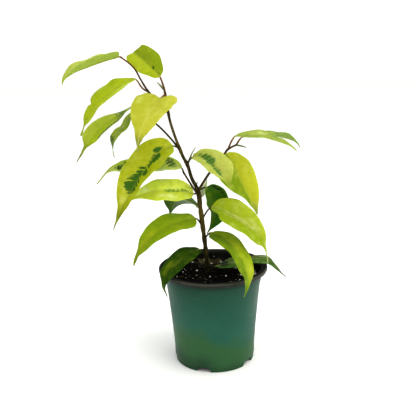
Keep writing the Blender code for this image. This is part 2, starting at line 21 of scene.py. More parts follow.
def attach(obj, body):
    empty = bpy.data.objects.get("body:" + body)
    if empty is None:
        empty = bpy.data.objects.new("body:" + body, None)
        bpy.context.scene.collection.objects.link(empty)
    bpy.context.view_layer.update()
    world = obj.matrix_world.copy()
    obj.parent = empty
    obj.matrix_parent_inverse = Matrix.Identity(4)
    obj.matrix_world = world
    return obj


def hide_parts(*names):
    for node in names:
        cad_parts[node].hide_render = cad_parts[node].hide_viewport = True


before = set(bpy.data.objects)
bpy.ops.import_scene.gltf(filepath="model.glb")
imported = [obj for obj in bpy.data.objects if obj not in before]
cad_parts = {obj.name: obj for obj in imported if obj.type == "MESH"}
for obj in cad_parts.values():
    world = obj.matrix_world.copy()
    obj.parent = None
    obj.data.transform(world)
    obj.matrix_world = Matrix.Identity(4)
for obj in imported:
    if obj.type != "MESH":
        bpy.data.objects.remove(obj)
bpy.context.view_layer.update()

LOG = logging.getLogger("fig")
MM = 0.001
Point = Sequence[float]

# Sockets that are told apart by number: of Map Range, and of Mix when it mixes colours
LOW, HIGH, AT_LOW, AT_HIGH = 1, 2, 3, 4
SHARE, UNDER, OVER, MIXED = 0, 6, 7, 2

# Points worked out along a curve, and the share of its length that a tangent is read over
CURVE_STEPS = 241
TANGENT_REACH = 0.02


# Colour, nodes and meshes

def linear(code: str) -> tuple[float, float, float, float]:
    """Turn an sRGB hex colour to linear.

    Args:
        code: The colour, such as "#3B6854".

    Returns:
        Linear red, green, blue and an alpha of 1.
    """
    levels = [int(code[k:k + 2], 16) / 255 for k in (1, 3, 5)]
    red, green, blue = (v / 12.92 if v <= 0.04045 else ((v + 0.055) / 1.055) ** 2.4 for v in levels)
    return red, green, blue, 1.0


def add(tree: bpy.types.NodeTree, kind: str, settings: Optional[dict] = None,
        links: Optional[dict] = None) -> bpy.types.Node:
    """Add a shader node with its settings and links.

    Args:
        tree: The material's node tree.
        kind: The node's type, such as "ShaderNodeMath".
        settings: Values by property name, or by input name or number.
        links: Output sockets by input name or number.

    Returns:
        The new node.
    """
    node = tree.nodes.new(kind)
    for key, value in (settings or {}).items():
        if isinstance(key, str) and key in node.bl_rna.properties:
            setattr(node, key, value)
        else:
            node.inputs[key].default_value = value
    for key, socket in (links or {}).items():
        tree.links.new(socket, node.inputs[key])
    return node


def new_material(name: str, colour: str) -> tuple[bpy.types.Material, bpy.types.Node]:
    """Start a material with one Principled shader.

    Args:
        name: The finish's name.
        colour: Its main colour in sRGB hex.

    Returns:
        The material and its shader.
    """
    made = bpy.data.materials.new(name)
    made.use_nodes = True
    made.diffuse_color = linear(colour)
    shader = made.node_tree.nodes["Principled BSDF"]
    shader.inputs["Base Color"].default_value = linear(colour)
    return made, shader


def paint(tree: bpy.types.NodeTree, ground: Any,
          coats: Iterable[tuple[bpy.types.NodeSocket, str]]) -> bpy.types.NodeSocket:
    """Lay coats of pigment over a ground, each where its mask lets it.

    Args:
        tree: The material's node tree.
        ground: The ground's colour in sRGB hex, or its socket.
        coats: Each coat's mask and its colour in sRGB hex, from the lowest up.

    Returns:
        The finished colour's socket.
    """
    colour = ground
    for mask, pigment in coats:
        coat = add(tree, "ShaderNodeMix", {"data_type": "RGBA", OVER: linear(pigment)}, {SHARE: mask})
        if isinstance(colour, str):
            coat.inputs[UNDER].default_value = linear(colour)
        else:
            tree.links.new(colour, coat.inputs[UNDER])
        colour = coat.outputs[MIXED]
    return colour


def unit(rows: Any) -> np.ndarray:
    """Scale each row to length 1."""
    rows = np.asarray(rows, float)
    return rows / np.linalg.norm(rows, axis=-1, keepdims=True)


def hermite(u: float, start: Any, end: Any, slope_start: Any, slope_end: Any) -> Any:
    """Blend between two values by a cubic.

    Args:
        u: The share of the way, 0 to 1.
        start: Value at 0.
        end: Value at 1.
        slope_start: Slope at 0.
        slope_end: Slope at 1.

    Returns:
        The value at u.
    """
    return ((2 * u**3 - 3 * u**2 + 1) * start + (u**3 - 2 * u**2 + u) * slope_start
            + (-2 * u**3 + 3 * u**2) * end + (u**3 - u**2) * slope_end)


def curve(points: Sequence[Point], shares: Any) -> tuple[np.ndarray, float]:
    """Read a smooth curve through points.

    Args:
        points: The points, with any further values such as a radius after x, y and z.
        shares: Shares of the curve's length, 0 to 1.

    Returns:
        The values at the shares, and the curve's length.
    """
    rows = np.asarray(points, float)
    step = np.linalg.norm(np.diff(rows, axis=0), axis=1) ** 0.5
    knot = np.concatenate([[0], np.cumsum(step)])
    chord = np.diff(rows, axis=0) / step[:, None]
    slope = np.empty_like(rows)
    for i in range(1, len(rows) - 1):
        slope[i] = (chord[i - 1] * step[i] + chord[i] * step[i - 1]) / (step[i] + step[i - 1])
    if len(rows) > 2:
        slope[0] = 1.5 * chord[0] - 0.5 * slope[1]
        slope[-1] = 1.5 * chord[-1] - 0.5 * slope[-2]
    else:
        slope[:] = chord[0]
    fine = []
    for k in np.linspace(0, knot[-1], CURVE_STEPS):
        i = min(int(np.searchsorted(knot, k, side="right")) - 1, len(step) - 1)
        fine.append(hermite((k - knot[i]) / step[i], rows[i], rows[i + 1],
                            step[i] * slope[i], step[i] * slope[i + 1]))
    table = np.array(fine)
    run = np.concatenate([[0], np.cumsum(np.linalg.norm(np.diff(table[:, :3], axis=0), axis=1))])
    at = np.asarray(shares, float) * run[-1]
    return np.stack([np.interp(at, run, table[:, k]) for k in range(table.shape[1])], -1), float(run[-1])


def directions(points: Sequence[Point], shares: Any) -> np.ndarray:
    """Read the smooth curve's unit tangents.

    Args:
        points: The curve's points.
        shares: Shares of its length.

    Returns:
        One direction for each share.
    """
    at = np.asarray(shares, float)
    before, _ = curve(points, np.clip(at - TANGENT_REACH, 0, 1))
    after, _ = curve(points, np.clip(at + TANGENT_REACH, 0, 1))
    return unit(after[:, :3] - before[:, :3])


def tube(points: Sequence[Point], sides: int, spacing: float,
         radius_at: Optional[Callable[[np.ndarray, float], float]] = None) -> tuple[list, list, list]:
    """Build a closed round tube along a smooth line.

    Args:
        points: x, y, z and radius at each point.
        sides: Number of sides.
        spacing: Distance between its rings.
        radius_at: Takes a ring's centre and radius, and returns the radius to use.

    Returns:
        Its points, its faces, and each point's share along the tube.
    """
    _, length = curve(points, [0, 1])
    shares = np.linspace(0, 1, max(4, round(length / spacing) + 1))
    path, _ = curve(points, shares)
    ahead = directions(points, shares)
    up = unit(np.cross(ahead[0], (0.3, 1.0, 0.1)))
    verts, along = [], []
    for centre, forward, share in zip(path, ahead, shares):
        up = unit(up - (up @ forward) * forward)
        right = np.cross(forward, up)
        radius = centre[3] if radius_at is None else radius_at(centre[:3], centre[3])
        for k in range(sides):
            a = 2 * math.pi * k / sides
            verts.append(centre[:3] + radius * (math.cos(a) * right + math.sin(a) * up))
            along.append(share)
    faces: list = []
    for i in range(len(shares) - 1):
        for k in range(sides):
            n = (k + 1) % sides
            faces.append((i * sides + k, i * sides + n, (i + 1) * sides + n, (i + 1) * sides + k))
    faces.append(tuple(range(sides - 1, -1, -1)))
    faces.append(tuple(range((len(shares) - 1) * sides, len(shares) * sides)))
    return verts, faces, along


@dataclass
class MeshDraft:
    """Points in millimetres, faces and what each carries, gathered before one mesh is made."""

    points: list = field(default_factory=list)
    faces: list = field(default_factory=list)
    slots: list = field(default_factory=list)
    values: dict[str, list] = field(default_factory=dict)

    def put(self, points: Iterable, faces: Iterable, slot: int = 0, **values: Iterable) -> None:
        """Add a body to the draft.

        Args:
            points: Its points.
            faces: Its faces, counted from its own first point.
            slot: The material slot of its faces.
            **values: A vector for each of its points, by attribute name.
        """
        first = len(self.points)
        self.points.extend(points)
        made = [tuple(first + v for v in face) for face in faces]
        self.faces.extend(made)
        self.slots.extend([slot] * len(made))
        count = len(self.points) - first
        for name in set(self.values) | set(values):
            known = self.values.setdefault(name, [(0.0, 0.0, 0.0)] * first)
            known.extend(values.get(name, [(0.0, 0.0, 0.0)] * count))

    def piece(self, name: str, materials: Sequence[bpy.types.Material],
              sharp: float = 50) -> bpy.types.Object:
        """Make the object.

        Args:
            name: The piece's name.
            materials: Its materials in slot order.
            sharp: Edges over this angle in degrees stay sharp.

        Returns:
            The new object, in the scene.
        """
        mesh = bpy.data.meshes.new(name)
        mesh.from_pydata([tuple(float(c) * MM for c in p) for p in self.points], [], self.faces)
        for made in materials:
            mesh.materials.append(made)
        mesh.polygons.foreach_set("material_index", self.slots)
        for key, rows in self.values.items():
            store = mesh.attributes.new(key, "FLOAT_VECTOR", "POINT")
            store.data.foreach_set("vector", np.asarray(rows, float).ravel())
        work = bmesh.new()
        work.from_mesh(mesh)
        bmesh.ops.recalc_face_normals(work, faces=work.faces)
        work.to_mesh(mesh)
        work.free()
        mesh.shade_smooth()
        mesh.set_sharp_from_angle(angle=math.radians(sharp))
        made_object = bpy.data.objects.new(name, mesh)
        bpy.context.scene.collection.objects.link(made_object)
        return made_object


def settle(piece: bpy.types.Object, slot: str, *nodes: str) -> None:
    """Fix a piece to the plant and report it.

    Args:
        piece: The new object.
        slot: The record's material slot; not used.
        *nodes: The frame's nodes that it stands for.
    """
    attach(piece, "root")
    if nodes:
        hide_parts(*nodes)
    LOG.info("%s: %d faces", piece.name, len(piece.data.polygons))


# Leaves

BREADTHS_AT = (0.10, 0.25, 0.45, 0.65, 0.80, 0.90)


class Age(Enum):
    """How old a leaf is: its roughness, how much light goes into it, and how much its wax mirrors."""

    YOUNG = (0.55, 0.30, 0.16)
    GROWN = (0.40, 0.20, 0.22)
    OLD = (0.38, 0.08, 0.14)

    @property
    def roughness(self) -> float:
        """Roughness of the waxy skin."""
        return self.value[0]

    @property
    def depth(self) -> float:
        """Share of light scattered inside the blade."""
        return self.value[1]

    @property
    def gloss(self) -> float:
        """Level of the mirrored light."""
        return self.value[2]


@dataclass(frozen=True)
class Patch:
    """A coloured area on a blade: its middle and reach, in shares of length and of half width."""

    along: float
    across: float
    reach: float
    spread: float
    weight: float = 1.0

    def strength(self, along: float, across: float) -> float:
        """Tell how strongly the patch colours a place.

        Args:
            along: Share of the blade's length.
            across: Share of its half width, less than 0 on the left.

        Returns:
            The patch's weight at its middle, half of that at its rim, and less outside.
        """
        far = ((along - self.along) / self.reach) ** 2 + ((across - self.across) / self.spread) ** 2
        return self.weight * math.exp(-0.693 * far)


LEFT, RIGHT = 0, 1


@dataclass(frozen=True)
class Dip:
    """A dip in a blade's edge: its side, middle, reach and depth, in shares of length and half width."""

    side: int
    along: float
    reach: float
    depth: float


@dataclass(frozen=True)
class LeafFinish:
    """Grown leaf skin: pigment by area under a thin wax layer.

    The wax gives a soft wide highlight, the pigment changes along the side veins, and the
    underside is paler and greyer. Some pale patches are painted highlights, and the two halves'
    colours are partly painted shade and light of the fold at the midrib.
    """

    left: str
    right: str
    tip: str
    under: str
    age: Age = Age.GROWN
    dark: str = "#2F6A10"
    pale: str = "#C0C878"
    rim: str = "#C4D060"
    fleck: str = "#7FA000"
    flecked: float = 0.4
    tip_from: float = 0.75
    rim_width: float = 0.0
    ribbed: float = 0.22
    darks: tuple[Patch, ...] = ()
    # Pale patches: pale pigment, and on some leaves painted highlights
    pales_and_highlights: tuple[Patch, ...] = ()

    def material(self, name: str) -> bpy.types.Material:
        """Build the waxy blade's material.

        Args:
            name: The leaf's name.

        Returns:
            The material.
        """
        made, shader = new_material(f"waxy_blade_{name}", self.left)
        tree = made.node_tree
        vector, part = {}, {}
        for key in ("place", "vein", "mark", "shade"):
            vector[key] = add(tree, "ShaderNodeAttribute", {"attribute_name": key}).outputs["Vector"]
            part[key] = add(tree, "ShaderNodeSeparateXYZ", links={0: vector[key]}).outputs
        # Streaks of pigment 2 mm wide and 11 mm long that run out along the side veins
        drawn = add(tree, "ShaderNodeVectorMath", {"operation": "MULTIPLY", 1: (0.5, 0.09, 1.0)},
                    {0: vector["vein"]})
        streak = add(tree, "ShaderNodeTexNoise", {"Scale": 1.0, "Detail": 4.0, "Roughness": 0.6},
                     {"Vector": drawn.outputs[0]})
        streaks = add(tree, "ShaderNodeSeparateXYZ", links={0: streak.outputs["Color"]}).outputs
        # Cells of unlike pigment, about 7 mm across
        blotch = add(tree, "ShaderNodeTexNoise", {"Scale": 1 / 7, "Detail": 2.0},
                     {"Vector": vector["place"]})
        clouds = add(tree, "ShaderNodeSeparateXYZ", links={0: blotch.outputs["Color"]}).outputs
        # Dark pigment stops in points 4 mm apart, where it meets the side veins
        shifted = add(tree, "ShaderNodeMath", {"operation": "MULTIPLY_ADD", 1: 5.0},
                      {0: streaks["Y"], 2: part["vein"]["X"]})
        points = add(tree, "ShaderNodeMath", {"operation": "PINGPONG", 1: 2.0}, {0: shifted.outputs[0]})
        comb = add(tree, "ShaderNodeMath", {"operation": "MULTIPLY_ADD", 1: 0.1},
                   {0: points.outputs[0], 2: streaks["X"]})
        lowered = add(tree, "ShaderNodeMath", {"operation": "SUBTRACT", 1: 0.1}, {0: comb.outputs[0]})
        dark = self._ragged(tree, part["mark"]["X"], lowered.outputs[0], 0.34, 1.45)
        pale = self._ragged(tree, part["mark"]["Y"], clouds["Z"], 0.5, 0.8)
        rim = self._ragged(tree, part["mark"]["Z"], streaks["Z"], 0.5, 1.0)
        # Side veins 2.6 mm apart, finer in life but drawn wide enough to show
        wave = add(tree, "ShaderNodeMath", {"operation": "PINGPONG", 1: 1.3}, {0: part["vein"]["X"]})
        line = add(tree, "ShaderNodeMapRange", {LOW: 0.0, HIGH: 0.5, AT_LOW: 1.0, AT_HIGH: 0.0},
                   {0: wave.outputs[0]})
        faint = add(tree, "ShaderNodeMath", {"operation": "MULTIPLY", 1: 0.1}, {0: line.outputs[0]})
        # The midrib, 1.6 mm wide with its soft sides
        rib = add(tree, "ShaderNodeMapRange", {LOW: 0.2, HIGH: 0.8, AT_LOW: self.ribbed, AT_HIGH: 0.0},
                  {0: part["vein"]["Y"]})
        # Each area's field, the field where it starts and where it is full, its strength and its colour
        areas = (
            (clouds["X"], 0.42, 0.72, self.flecked, self.fleck),
            (streaks["Y"], 0.45, 0.75, self.flecked, self.fleck),
            (clouds["Y"], 0.45, 0.75, 0.32, self.pale),
            # The pale patches, which on some leaves are painted highlights
            (pale, 0.2, 0.95, 0.85, self.pale),
            (dark, 0.26, 0.5, 0.5, self.dark),
            (dark, 0.5, 0.6, 0.92, self.dark),
            (rim, 0.25, 0.7, 0.9, self.rim))
        # The right half's colour turns in at the midrib and the tip's towards the tip; the halves differ
        # partly in pigment and partly as painted shade and light of the fold
        coats = [(part["shade"]["X"], self.right), (part["shade"]["Y"], self.tip)]
        for area, low, high, strength, pigment in areas:
            mask = add(tree, "ShaderNodeMapRange",
                       {"interpolation_type": "SMOOTHSTEP", LOW: low, HIGH: high, AT_HIGH: strength},
                       {0: area})
            coats.append((mask.outputs[0], pigment))
        coats += [(faint.outputs[0], self.pale), (rib.outputs[0], self.pale)]
        top = paint(tree, self.left, coats)
        both = add(tree, "ShaderNodeMix", {"data_type": "RGBA"},
                   {SHARE: part["place"]["Z"], UNDER: self._underside(tree, line, blotch), OVER: top})
        tree.links.new(both.outputs[MIXED], shader.inputs["Base Color"])

        # The wax wears unevenly, so the roughness varies by about 0.07 either way
        gloss = add(tree, "ShaderNodeMapRange",
                    {LOW: 0.3, HIGH: 0.7, AT_LOW: self.age.roughness - 0.06,
                     AT_HIGH: self.age.roughness + 0.08}, {0: blotch.outputs[0]})
        tree.links.new(gloss.outputs[0], shader.inputs["Roughness"])
        relief = add(tree, "ShaderNodeMath", {"operation": "MULTIPLY_ADD", 1: -0.5},
                     {0: line.outputs[0], 2: streak.outputs[0]})
        bump = add(tree, "ShaderNodeBump", {"Strength": 0.35, "Distance": 0.0003},
                   {"Height": relief.outputs[0]})
        tree.links.new(bump.outputs[0], shader.inputs["Normal"])
        shader.inputs["Specular IOR Level"].default_value = self.age.gloss
        # Green goes deepest into the blade, 0.6 mm, and blue least
        shader.inputs["Subsurface Weight"].default_value = self.age.depth
        shader.inputs["Subsurface Radius"].default_value = (0.8, 1.0, 0.3)
        shader.inputs["Subsurface Scale"].default_value = 0.0006
        return made

    @staticmethod
    def _ragged(tree: bpy.types.NodeTree, area: bpy.types.NodeSocket, streak: bpy.types.NodeSocket,
                least: float, swing: float) -> bpy.types.NodeSocket:
        """Break up a patch's rim along the side veins.

        Args:
            tree: The material's node tree.
            area: The patch's field.
            streak: Noise drawn out along the veins.
            least: What the field is multiplied by where the noise is lowest.
            swing: How much is added to that where it is highest.

        Returns:
            The broken field's socket.
        """
        spread = add(tree, "ShaderNodeMapRange",
                     {LOW: 0.32, HIGH: 0.68, AT_LOW: least, AT_HIGH: least + swing}, {0: streak})
        broken = add(tree, "ShaderNodeMath", {"operation": "MULTIPLY"}, {0: area, 1: spread.outputs[0]})
        return broken.outputs[0]

    def _underside(self, tree: bpy.types.NodeTree, line: bpy.types.Node,
                   blotch: bpy.types.Node) -> bpy.types.NodeSocket:
        """Colour the underside, duller than the top and with clearer veins.

        Args:
            tree: The material's node tree.
            line: The side veins.
            blotch: The pigment's unevenness.

        Returns:
            The colour's socket.
        """
        clouded = add(tree, "ShaderNodeMath", {"operation": "MULTIPLY", 1: 0.35}, {0: blotch.outputs[0]})
        veined = add(tree, "ShaderNodeMath", {"operation": "MULTIPLY", 1: 0.22}, {0: line.outputs[0]})
        return paint(tree, self.under, [(clouded.outputs[0], self.fleck), (veined.outputs[0], self.pale)])


@dataclass(frozen=True)
class Leaf:
    """One leaf in millimetres. Left and right are seen from above with the tip ahead.

    The midrib is a line of points from base to tip, and face gives the blade's upward direction
    along it. Left and right are half widths at BREADTHS_AT. Lift is how far each half folds up, in
    degrees, and lobes how far each half reaches back past the stalk.
    """

    foot: Point
    midrib: Sequence[Point]
    face: Sequence[Point]
    left: Sequence[float]
    right: Sequence[float]
    lift: Point
    finish: LeafFinish
    stalk: Sequence[Point] = ()
    lobes: Point = (0, 0)
    young_stalk: bool = False
    dips: tuple[Dip, ...] = ()

    # The mesh: rows along the blade, closer at its base, and points in half a row, closer at its edge
    ROWS = 72
    ROWS_CROWD = 1.15
    HALF_COLUMNS = 12
    COLUMNS_CROWD = 0.85
    THICK = 0.40
    EDGE_THICK = 0.16
    # Half widths at the base and the tip, and the share of the first breadth that is reached early
    BASE_HALF = 0.7
    TIP_HALF = 0.5
    SHOULDER_AT = 0.03
    SHOULDER = 0.62
    # How far a half bellies up, in shares of its width
    CUP = 0.2
    LOBE_REACH = 7.0
    FULL_AT_WIDTH = 8.0
    # The edge's waves: height, and how many there are
    WAVE = 0.35
    WAVES = 2.6
    WAVE_SHIFT = 0.31
    # Slow swells of the blade: height, and turns in a millimetre along and across
    SWELL = 1.3
    SWELL_ALONG = 0.085
    SWELL_ACROSS = 0.06
    BULGE = 0.6
    # Faint ridges along the side veins, 3.9 mm apart
    RIDGE = 0.04
    RIDGE_TURN = 1.6
    # Millimetres that a side vein runs ahead for each one out
    VEIN_SLANT = 0.62
    # Share of the half width over which the left side's colour turns into the right side's
    FOLD_HALF = 0.12
    # Sets each leaf's waves and streaks apart from the next one's
    PHASE_STEP = 1.7
    STALK_RADIUS = 0.74
    STALK_FOOT = 1.25
    STALK_SIDES = 10
    STALK_SPACING = 1.6
    RIB_TO = 0.86
    RIB_POINTS = 12
    RIB_RADIUS = 0.5
    RIB_LEAST = 0.12
    RIB_SUNK = 0.55

    def _half_widths(self, values: Sequence[float], shares: np.ndarray) -> np.ndarray:
        """Read one half's width along the midrib, without overshoot.

        Args:
            values: Half widths at BREADTHS_AT.
            shares: Shares of the midrib's length.

        Returns:
            The half widths.
        """
        x = np.array([0.0, self.SHOULDER_AT, *BREADTHS_AT, 1.0])
        y = np.array([self.BASE_HALF, self.SHOULDER * values[0], *values, self.TIP_HALF])
        step = np.diff(x)
        rise = np.diff(y) / step
        slope = np.zeros_like(y)
        slope[0] = rise[0]
        slope[-1] = rise[-1]
        for i in range(1, len(x) - 1):
            if rise[i - 1] * rise[i] > 0:
                first = 2 * step[i] + step[i - 1]
                second = step[i] + 2 * step[i - 1]
                slope[i] = (first + second) / (first / rise[i - 1] + second / rise[i])
        out = []
        for share in shares:
            i = min(max(int(np.searchsorted(x, share, side="right")) - 1, 0), len(step) - 1)
            out.append(hermite((share - x[i]) / step[i], y[i], y[i + 1],
                               step[i] * slope[i], step[i] * slope[i + 1]))
        return np.array(out)

    def _dipped(self, side: int, shares: np.ndarray) -> np.ndarray:
        """Tell how much of a half's width its dips leave.

        Args:
            side: LEFT or RIGHT.
            shares: Shares of the midrib's length.

        Returns:
            A factor for each share.
        """
        kept = np.ones_like(shares)
        for dip in self.dips:
            if dip.side == side:
                kept -= dip.depth * np.exp(-((shares - dip.along) / dip.reach) ** 2)
        return kept

    def _columns(self) -> np.ndarray:
        """Shares across the blade, from -1 at the left edge to 1 at the right one."""
        half = np.linspace(0, 1, self.HALF_COLUMNS) ** self.COLUMNS_CROWD
        return np.concatenate([-half[:0:-1], half])

    def _raised(self, side: int, width: float, d: float, share: float, run: float, phase: float) -> float:
        """Tell how far a place stands above the plane across the midrib.

        Args:
            side: LEFT or RIGHT.
            width: The half's width there.
            d: Share of that width.
            share: Share of the blade's length.
            run: Millimetres along the blade to where the place's side vein starts.
            phase: Sets where this leaf's waves and swells fall.

        Returns:
            The height in millimetres.
        """
        ripple = math.sin(2 * math.pi * (self.WAVES * share + self.WAVE_SHIFT * side) + phase)
        raised = width * (d * math.sin(math.radians(self.lift[side])) + self.CUP * (d - d * d))
        raised += self.WAVE * d**3 * ripple * min(1, width / self.FULL_AT_WIDTH)
        place = (run * self.SWELL_ALONG, d * width * self.SWELL_ACROSS, 3 * phase + 5 * side)
        swell = self.SWELL * noise.noise(Vector(place))
        ridge = self.RIDGE * math.cos(self.RIDGE_TURN * run)
        return raised + (swell + ridge) * math.sin(math.pi * d * self.BULGE)

    def _blade(self, draft: MeshDraft, phase: float) -> None:
        """Add the blade, folded at the midrib, with thin wavy edges.

        Args:
            draft: The leaf's mesh.
            phase: Sets where this leaf's edge waves fall.
        """
        shares = np.linspace(0, 1, self.ROWS) ** self.ROWS_CROWD
        columns = self._columns()
        spine, length = curve(self.midrib, shares)
        ahead = directions(self.midrib, shares)
        face = unit(self.face)
        at = np.linspace(0, 1, len(face))
        up = np.stack([np.interp(shares, at, face[:, k]) for k in range(3)], -1)
        up = unit(up - (up * ahead).sum(1)[:, None] * ahead)
        right = np.cross(ahead, up)
        widths = [self._half_widths(values, shares) * self._dipped(side, shares)
                  for side, values in ((LEFT, self.left), (RIGHT, self.right))]
        grid = np.empty((len(shares), len(columns), 3))
        rows: dict[str, list] = {"place": [], "vein": [], "mark": [], "shade": []}
        for i, share in enumerate(shares):
            near_base = math.exp(-(share * length / self.LOBE_REACH) ** 2)
            for j, q in enumerate(columns):
                side = LEFT if q < 0 else RIGHT
                outwards = -1 if side == LEFT else 1
                width = widths[side][i]
                d = abs(q)
                out = width * d * math.cos(math.radians(self.lift[side]))
                x = q * width
                run = share * length - self.VEIN_SLANT * abs(x)
                raised = self._raised(side, width, d, share, run, phase)
                back = self.lobes[side] * near_base * d * min(1, width / self.FULL_AT_WIDTH)
                grid[i, j] = spine[i] + outwards * right[i] * out + up[i] * raised - ahead[i] * back
                # The third value is 1 on top and 0 underneath
                rows["place"].append((share * length, x, 1.0))
                # The third value gives each leaf and half its own streaks
                rows["vein"].append((run, abs(x), 50.0 * side + 7.3 * phase))
                rows["mark"].append(self._marks(share, q))
                rows["shade"].append(self._shades(share, q))
        across = np.gradient(grid, axis=1)
        normal = unit(np.cross(across, np.gradient(grid, axis=0)))
        d = np.abs(columns)
        half = (self.EDGE_THICK + (self.THICK - self.EDGE_THICK) * (1 - d**3)) / 2
        top = (grid + normal * half[None, :, None]).reshape(-1, 3)
        below = (grid - normal * half[None, :, None]).reshape(-1, 3)
        for key in rows:
            if key == "place":
                rows[key] = rows[key] + [(a, b, 0.0) for a, b, _ in rows[key]]
            else:
                rows[key] = rows[key] * 2
        draft.put([*top, *below], self._blade_faces(len(shares), len(columns)), **rows)

    @staticmethod
    def _blade_faces(rows: int, columns: int) -> list:
        """Join the blade's two sheets and the strip round their edge.

        Args:
            rows: Rows of points in a sheet.
            columns: Points in a row.

        Returns:
            The faces.
        """
        sheet = rows * columns
        faces = []
        for i in range(rows - 1):
            for j in range(columns - 1):
                a, b = i * columns + j, i * columns + j + 1
                c, d = b + columns, a + columns
                faces.append((a, b, c, d))
                faces.append((sheet + a, sheet + d, sheet + c, sheet + b))
            for a, d in ((i * columns, (i + 1) * columns),
                         ((i + 2) * columns - 1, (i + 1) * columns - 1)):
                faces.append((a, d, sheet + d, sheet + a))
        for j in range(columns - 1):
            last = (rows - 1) * columns
            faces.append((j + 1, j, sheet + j, sheet + j + 1))
            faces.append((last + j, last + j + 1, sheet + last + j + 1, sheet + last + j))
        return faces

    def _marks(self, share: float, q: float) -> tuple[float, float, float]:
        """Weigh the dark patches, the pale patches and the rim at one place.

        Args:
            share: Share of the blade's length.
            q: Share of its half width.

        Returns:
            The three weights.
        """
        dark = sum(p.strength(share, q) for p in self.finish.darks)
        pale = sum(p.strength(share, q) for p in self.finish.pales_and_highlights)
        width = self.finish.rim_width
        rim = max(0.0, (abs(q) - 1 + width) / width) if width else 0.0
        return min(dark, 1.0), min(pale, 1.0), rim

    def _shades(self, share: float, q: float) -> tuple[float, float, float]:
        """Tell the side and the nearness to the tip at one place.

        Args:
            share: Share of the blade's length.
            q: Share of its half width.

        Returns:
            0 to 1 from left to right, 0 to 1 towards the tip, and 0.
        """
        side = 0.5 + 0.5 * max(-1.0, min(1.0, q / self.FOLD_HALF))
        reach = (share - self.finish.tip_from) / (1 - self.finish.tip_from)
        near = max(0.0, min(1.0, reach))
        return side, near * near * (3 - 2 * near), 0.0

    def _stalk(self, draft: MeshDraft) -> None:
        """Add the stalk, which goes on under the blade as its raised midrib.

        Args:
            draft: The leaf's mesh.
        """
        at = np.linspace(0, self.RIB_TO, self.RIB_POINTS)
        spine, _ = curve(self.midrib, at)
        face = unit(self.face)
        up = np.stack([np.interp(at, np.linspace(0, 1, len(face)), face[:, k]) for k in range(3)], -1)
        points = [(*self.foot, self.STALK_RADIUS * self.STALK_FOOT)]
        points += [(*p, self.STALK_RADIUS) for p in self.stalk]
        points.append((*self.midrib[0], self.STALK_RADIUS))
        for k in range(1, self.RIB_POINTS):
            radius = self.RIB_RADIUS * (1 - at[k]) + self.RIB_LEAST
            points.append((*(spine[k] - unit(up[k]) * (radius * self.RIB_SUNK)), radius))
        bare = sum(math.dist(a[:3], b[:3]) for a, b in zip(points, points[1:len(self.stalk) + 2]))
        _, whole = curve(points, [0, 1])
        verts, faces, along = tube(points, self.STALK_SIDES, self.STALK_SPACING)
        draft.put(verts, faces, slot=1, place=[(min(1.0, a * whole / bare), 0.0, 0.0) for a in along])

    def build(self, name: str, stalk_material: bpy.types.Material) -> None:
        """Make the leaf and put it on the plant.

        Args:
            name: Its node's name.
            stalk_material: The stalk's material.
        """
        draft = MeshDraft()
        self._blade(draft, phase=self.PHASE_STEP * int(name[-2:]))
        self._stalk(draft)
        piece = draft.piece(f"{name}_grown", [self.finish.material(name), stalk_material], sharp=60)
        settle(piece, f"{name}_blade", name)


